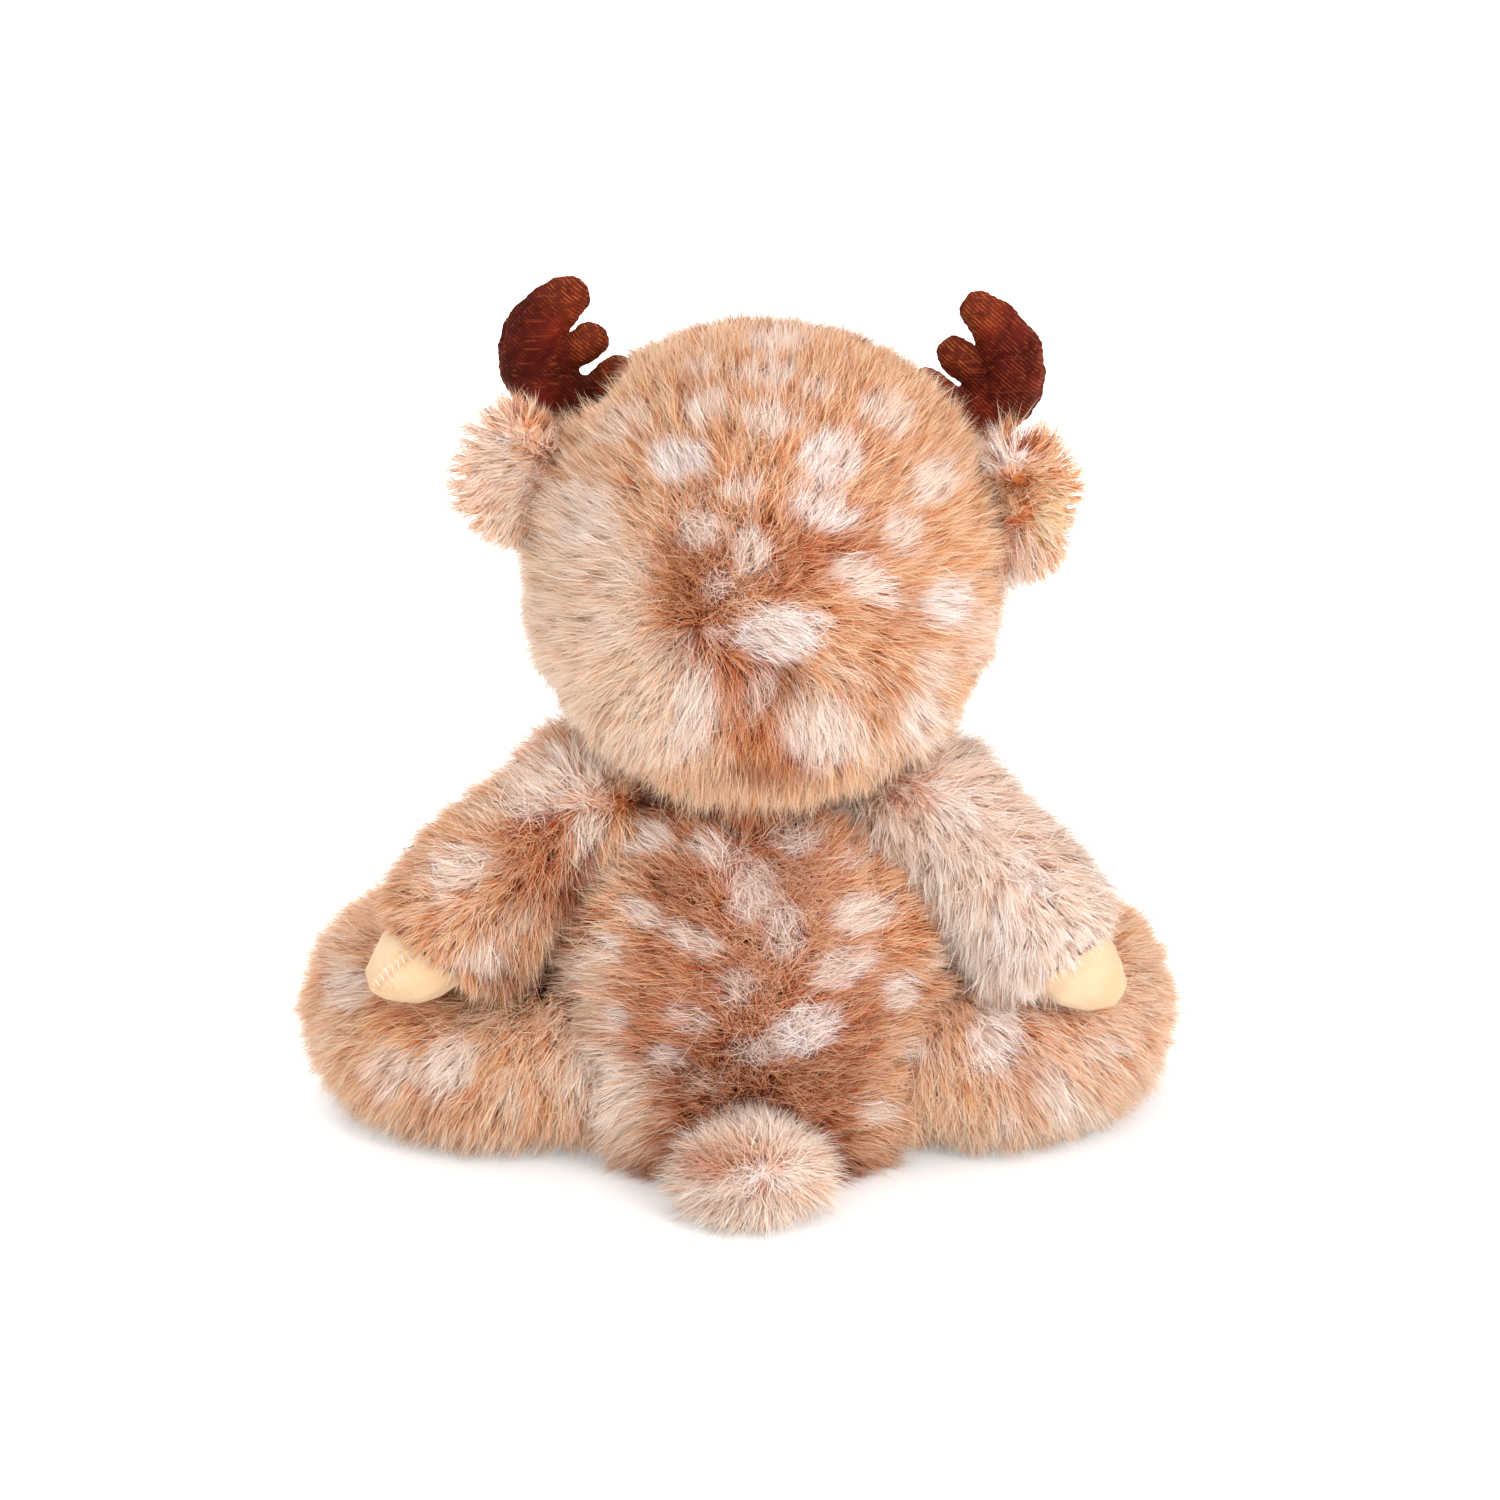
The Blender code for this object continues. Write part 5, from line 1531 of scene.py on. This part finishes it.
lining = lining_material()
button = moulded_material("moulded eye", linear(14, 9, 8), linear(30, 20, 16), 0.10)
snout = moulded_material("moulded nose", linear(44, 28, 24), linear(66, 44, 38), 0.26)
for side in SIDES:
    covered_with(nodes[f"ear_lining_{side}"], lining)
    covered_with(nodes[f"eye_{side}"], button)
covered_with(nodes["nose"], snout)

# The coats in place. Each keeps clear of soft neighbours at its roots, and of firm ones along its length.

trees = {part: solid(skin) for part, skin in skins.items()}
hard = {"nose": solid(nodes["nose"])}
hard.update({name: solid(obj) for name, obj in hooves.items()})
NEIGHBOURS = {
    "head": (
        ["muzzle", "ear_left", "ear_right"],
        ["antler_left", "antler_right", "eye_left", "eye_right", "nose"],
    ),
    "torso": (["leg_left", "leg_right", "arm_left", "arm_right", "tail"], ["hand_left", "hand_right"]),
    "neck": (["torso", "head"], []),
    "tail": (["torso"], []),
    "muzzle": (["head"], ["nose"]),
}
for side in SIDES:
    hard[f"antler_{side}"] = solid(antlers[side])
    hard[f"eye_{side}"] = solid(nodes[f"eye_{side}"])
    hard[f"lining_{side}"] = solid(nodes[f"ear_lining_{side}"])
    NEIGHBOURS[f"leg_{side}"] = (["torso"], [f"hand_{side}", f"foot_{side}"])
    NEIGHBOURS[f"arm_{side}"] = (["torso"], [f"hand_{side}"])
    NEIGHBOURS[f"ear_{side}"] = (["head"], [f"lining_{side}", f"antler_{side}"])
total = 0
for order, name in enumerate(COATS):
    soft, firm = NEIGHBOURS[name]
    short = name == "muzzle"
    made = grow(name, 100 + order * 17, [trees[n] for n in soft], {n: hard[n] for n in firm})
    paint_skin(skins[name], COATS[name].paint, plush if short else backing)
    count = len(made[0])
    parts = max(1, math.ceil(count / MOST_STRANDS))
    split = np.array_split(np.random.default_rng(order).permutation(count), parts)
    for number, chosen in enumerate(split, 1):
        label = f"{name}_pile" if parts == 1 else f"{name}_pile_{number}"
        pile = pile_object(label, *(of_strand[chosen] for of_strand in made), plush if short else fur)
        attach(pile, body_of(name))
    total += count
print("strands", total)

# Studio, in metres

WHITE = (1.0, 1.0, 1.0, 1.0)
FLOOR_SIZE = 40.0
FLOOR_GLOW = 0.3
SKY_LIGHT = 0.85
SKY_WHITER = 0.15
SENSOR = 36.0

ground = new_material("white floor")
# A little more white for the camera alone, so that the floor is as pale as the photograph's
ground.shade(
    Base_Color=ground.ramp(ground.noise(0.6, 1.0), (0.3, 0.955), (0.7, 0.97)),
    Roughness=0.9,
    Specular_IOR_Level=0.0,
    Emission_Color=WHITE,
    Emission_Strength=ground.math("MULTIPLY", ground.seen_rays(), FLOOR_GLOW),
)
shape = bmesh.new()
bmesh.ops.create_grid(shape, x_segments=1, y_segments=1, size=FLOOR_SIZE)
covered_with(released("floor", shape), ground.owner)

world = bpy.data.worlds.new("studio")
bpy.context.scene.world = world
# The camera and reflections see a white sky, a little paler than the light on the object.
sky = Nodes(world, "Background")
sky.shade(Color=WHITE, Strength=sky.math("MULTIPLY_ADD", sky.seen_rays(), SKY_WHITER, SKY_LIGHT))


def aimed(obj, place, aim):
    """The object at a place, turned towards another."""
    obj.location = place
    obj.rotation_euler = (Vector(aim) - Vector(place)).to_track_quat("-Z", "Y").to_euler()
    return obj


def area_light(name, place, aim, size, power):
    light = bpy.data.lights.new(name, "AREA")
    light.energy = power
    light.size = size
    aimed(linked(name, light), place, aim)


area_light("key", (-0.65, 1.15, 0.7), (0, 0, 0.1), 0.6, 11.0)
area_light("fill", (0.75, 1.15, 0.6), (0, 0, 0.1), 0.9, 3.6)
area_light("front", (0.4, -1.1, 0.8), (0, 0, 0.12), 0.9, 11.0)

camera = bpy.data.cameras.new("camera")
camera.sensor_width = SENSOR
camera.lens = SENSOR * FOCAL_PX / IMAGE_PX
camera.clip_end = 100.0
eye = aimed(linked("camera", camera), (TARGET + TO_CAMERA * DISTANCE) / MM, TARGET / MM)
bpy.context.scene.camera = eye
bpy.context.scene.view_settings.view_transform = "Standard"
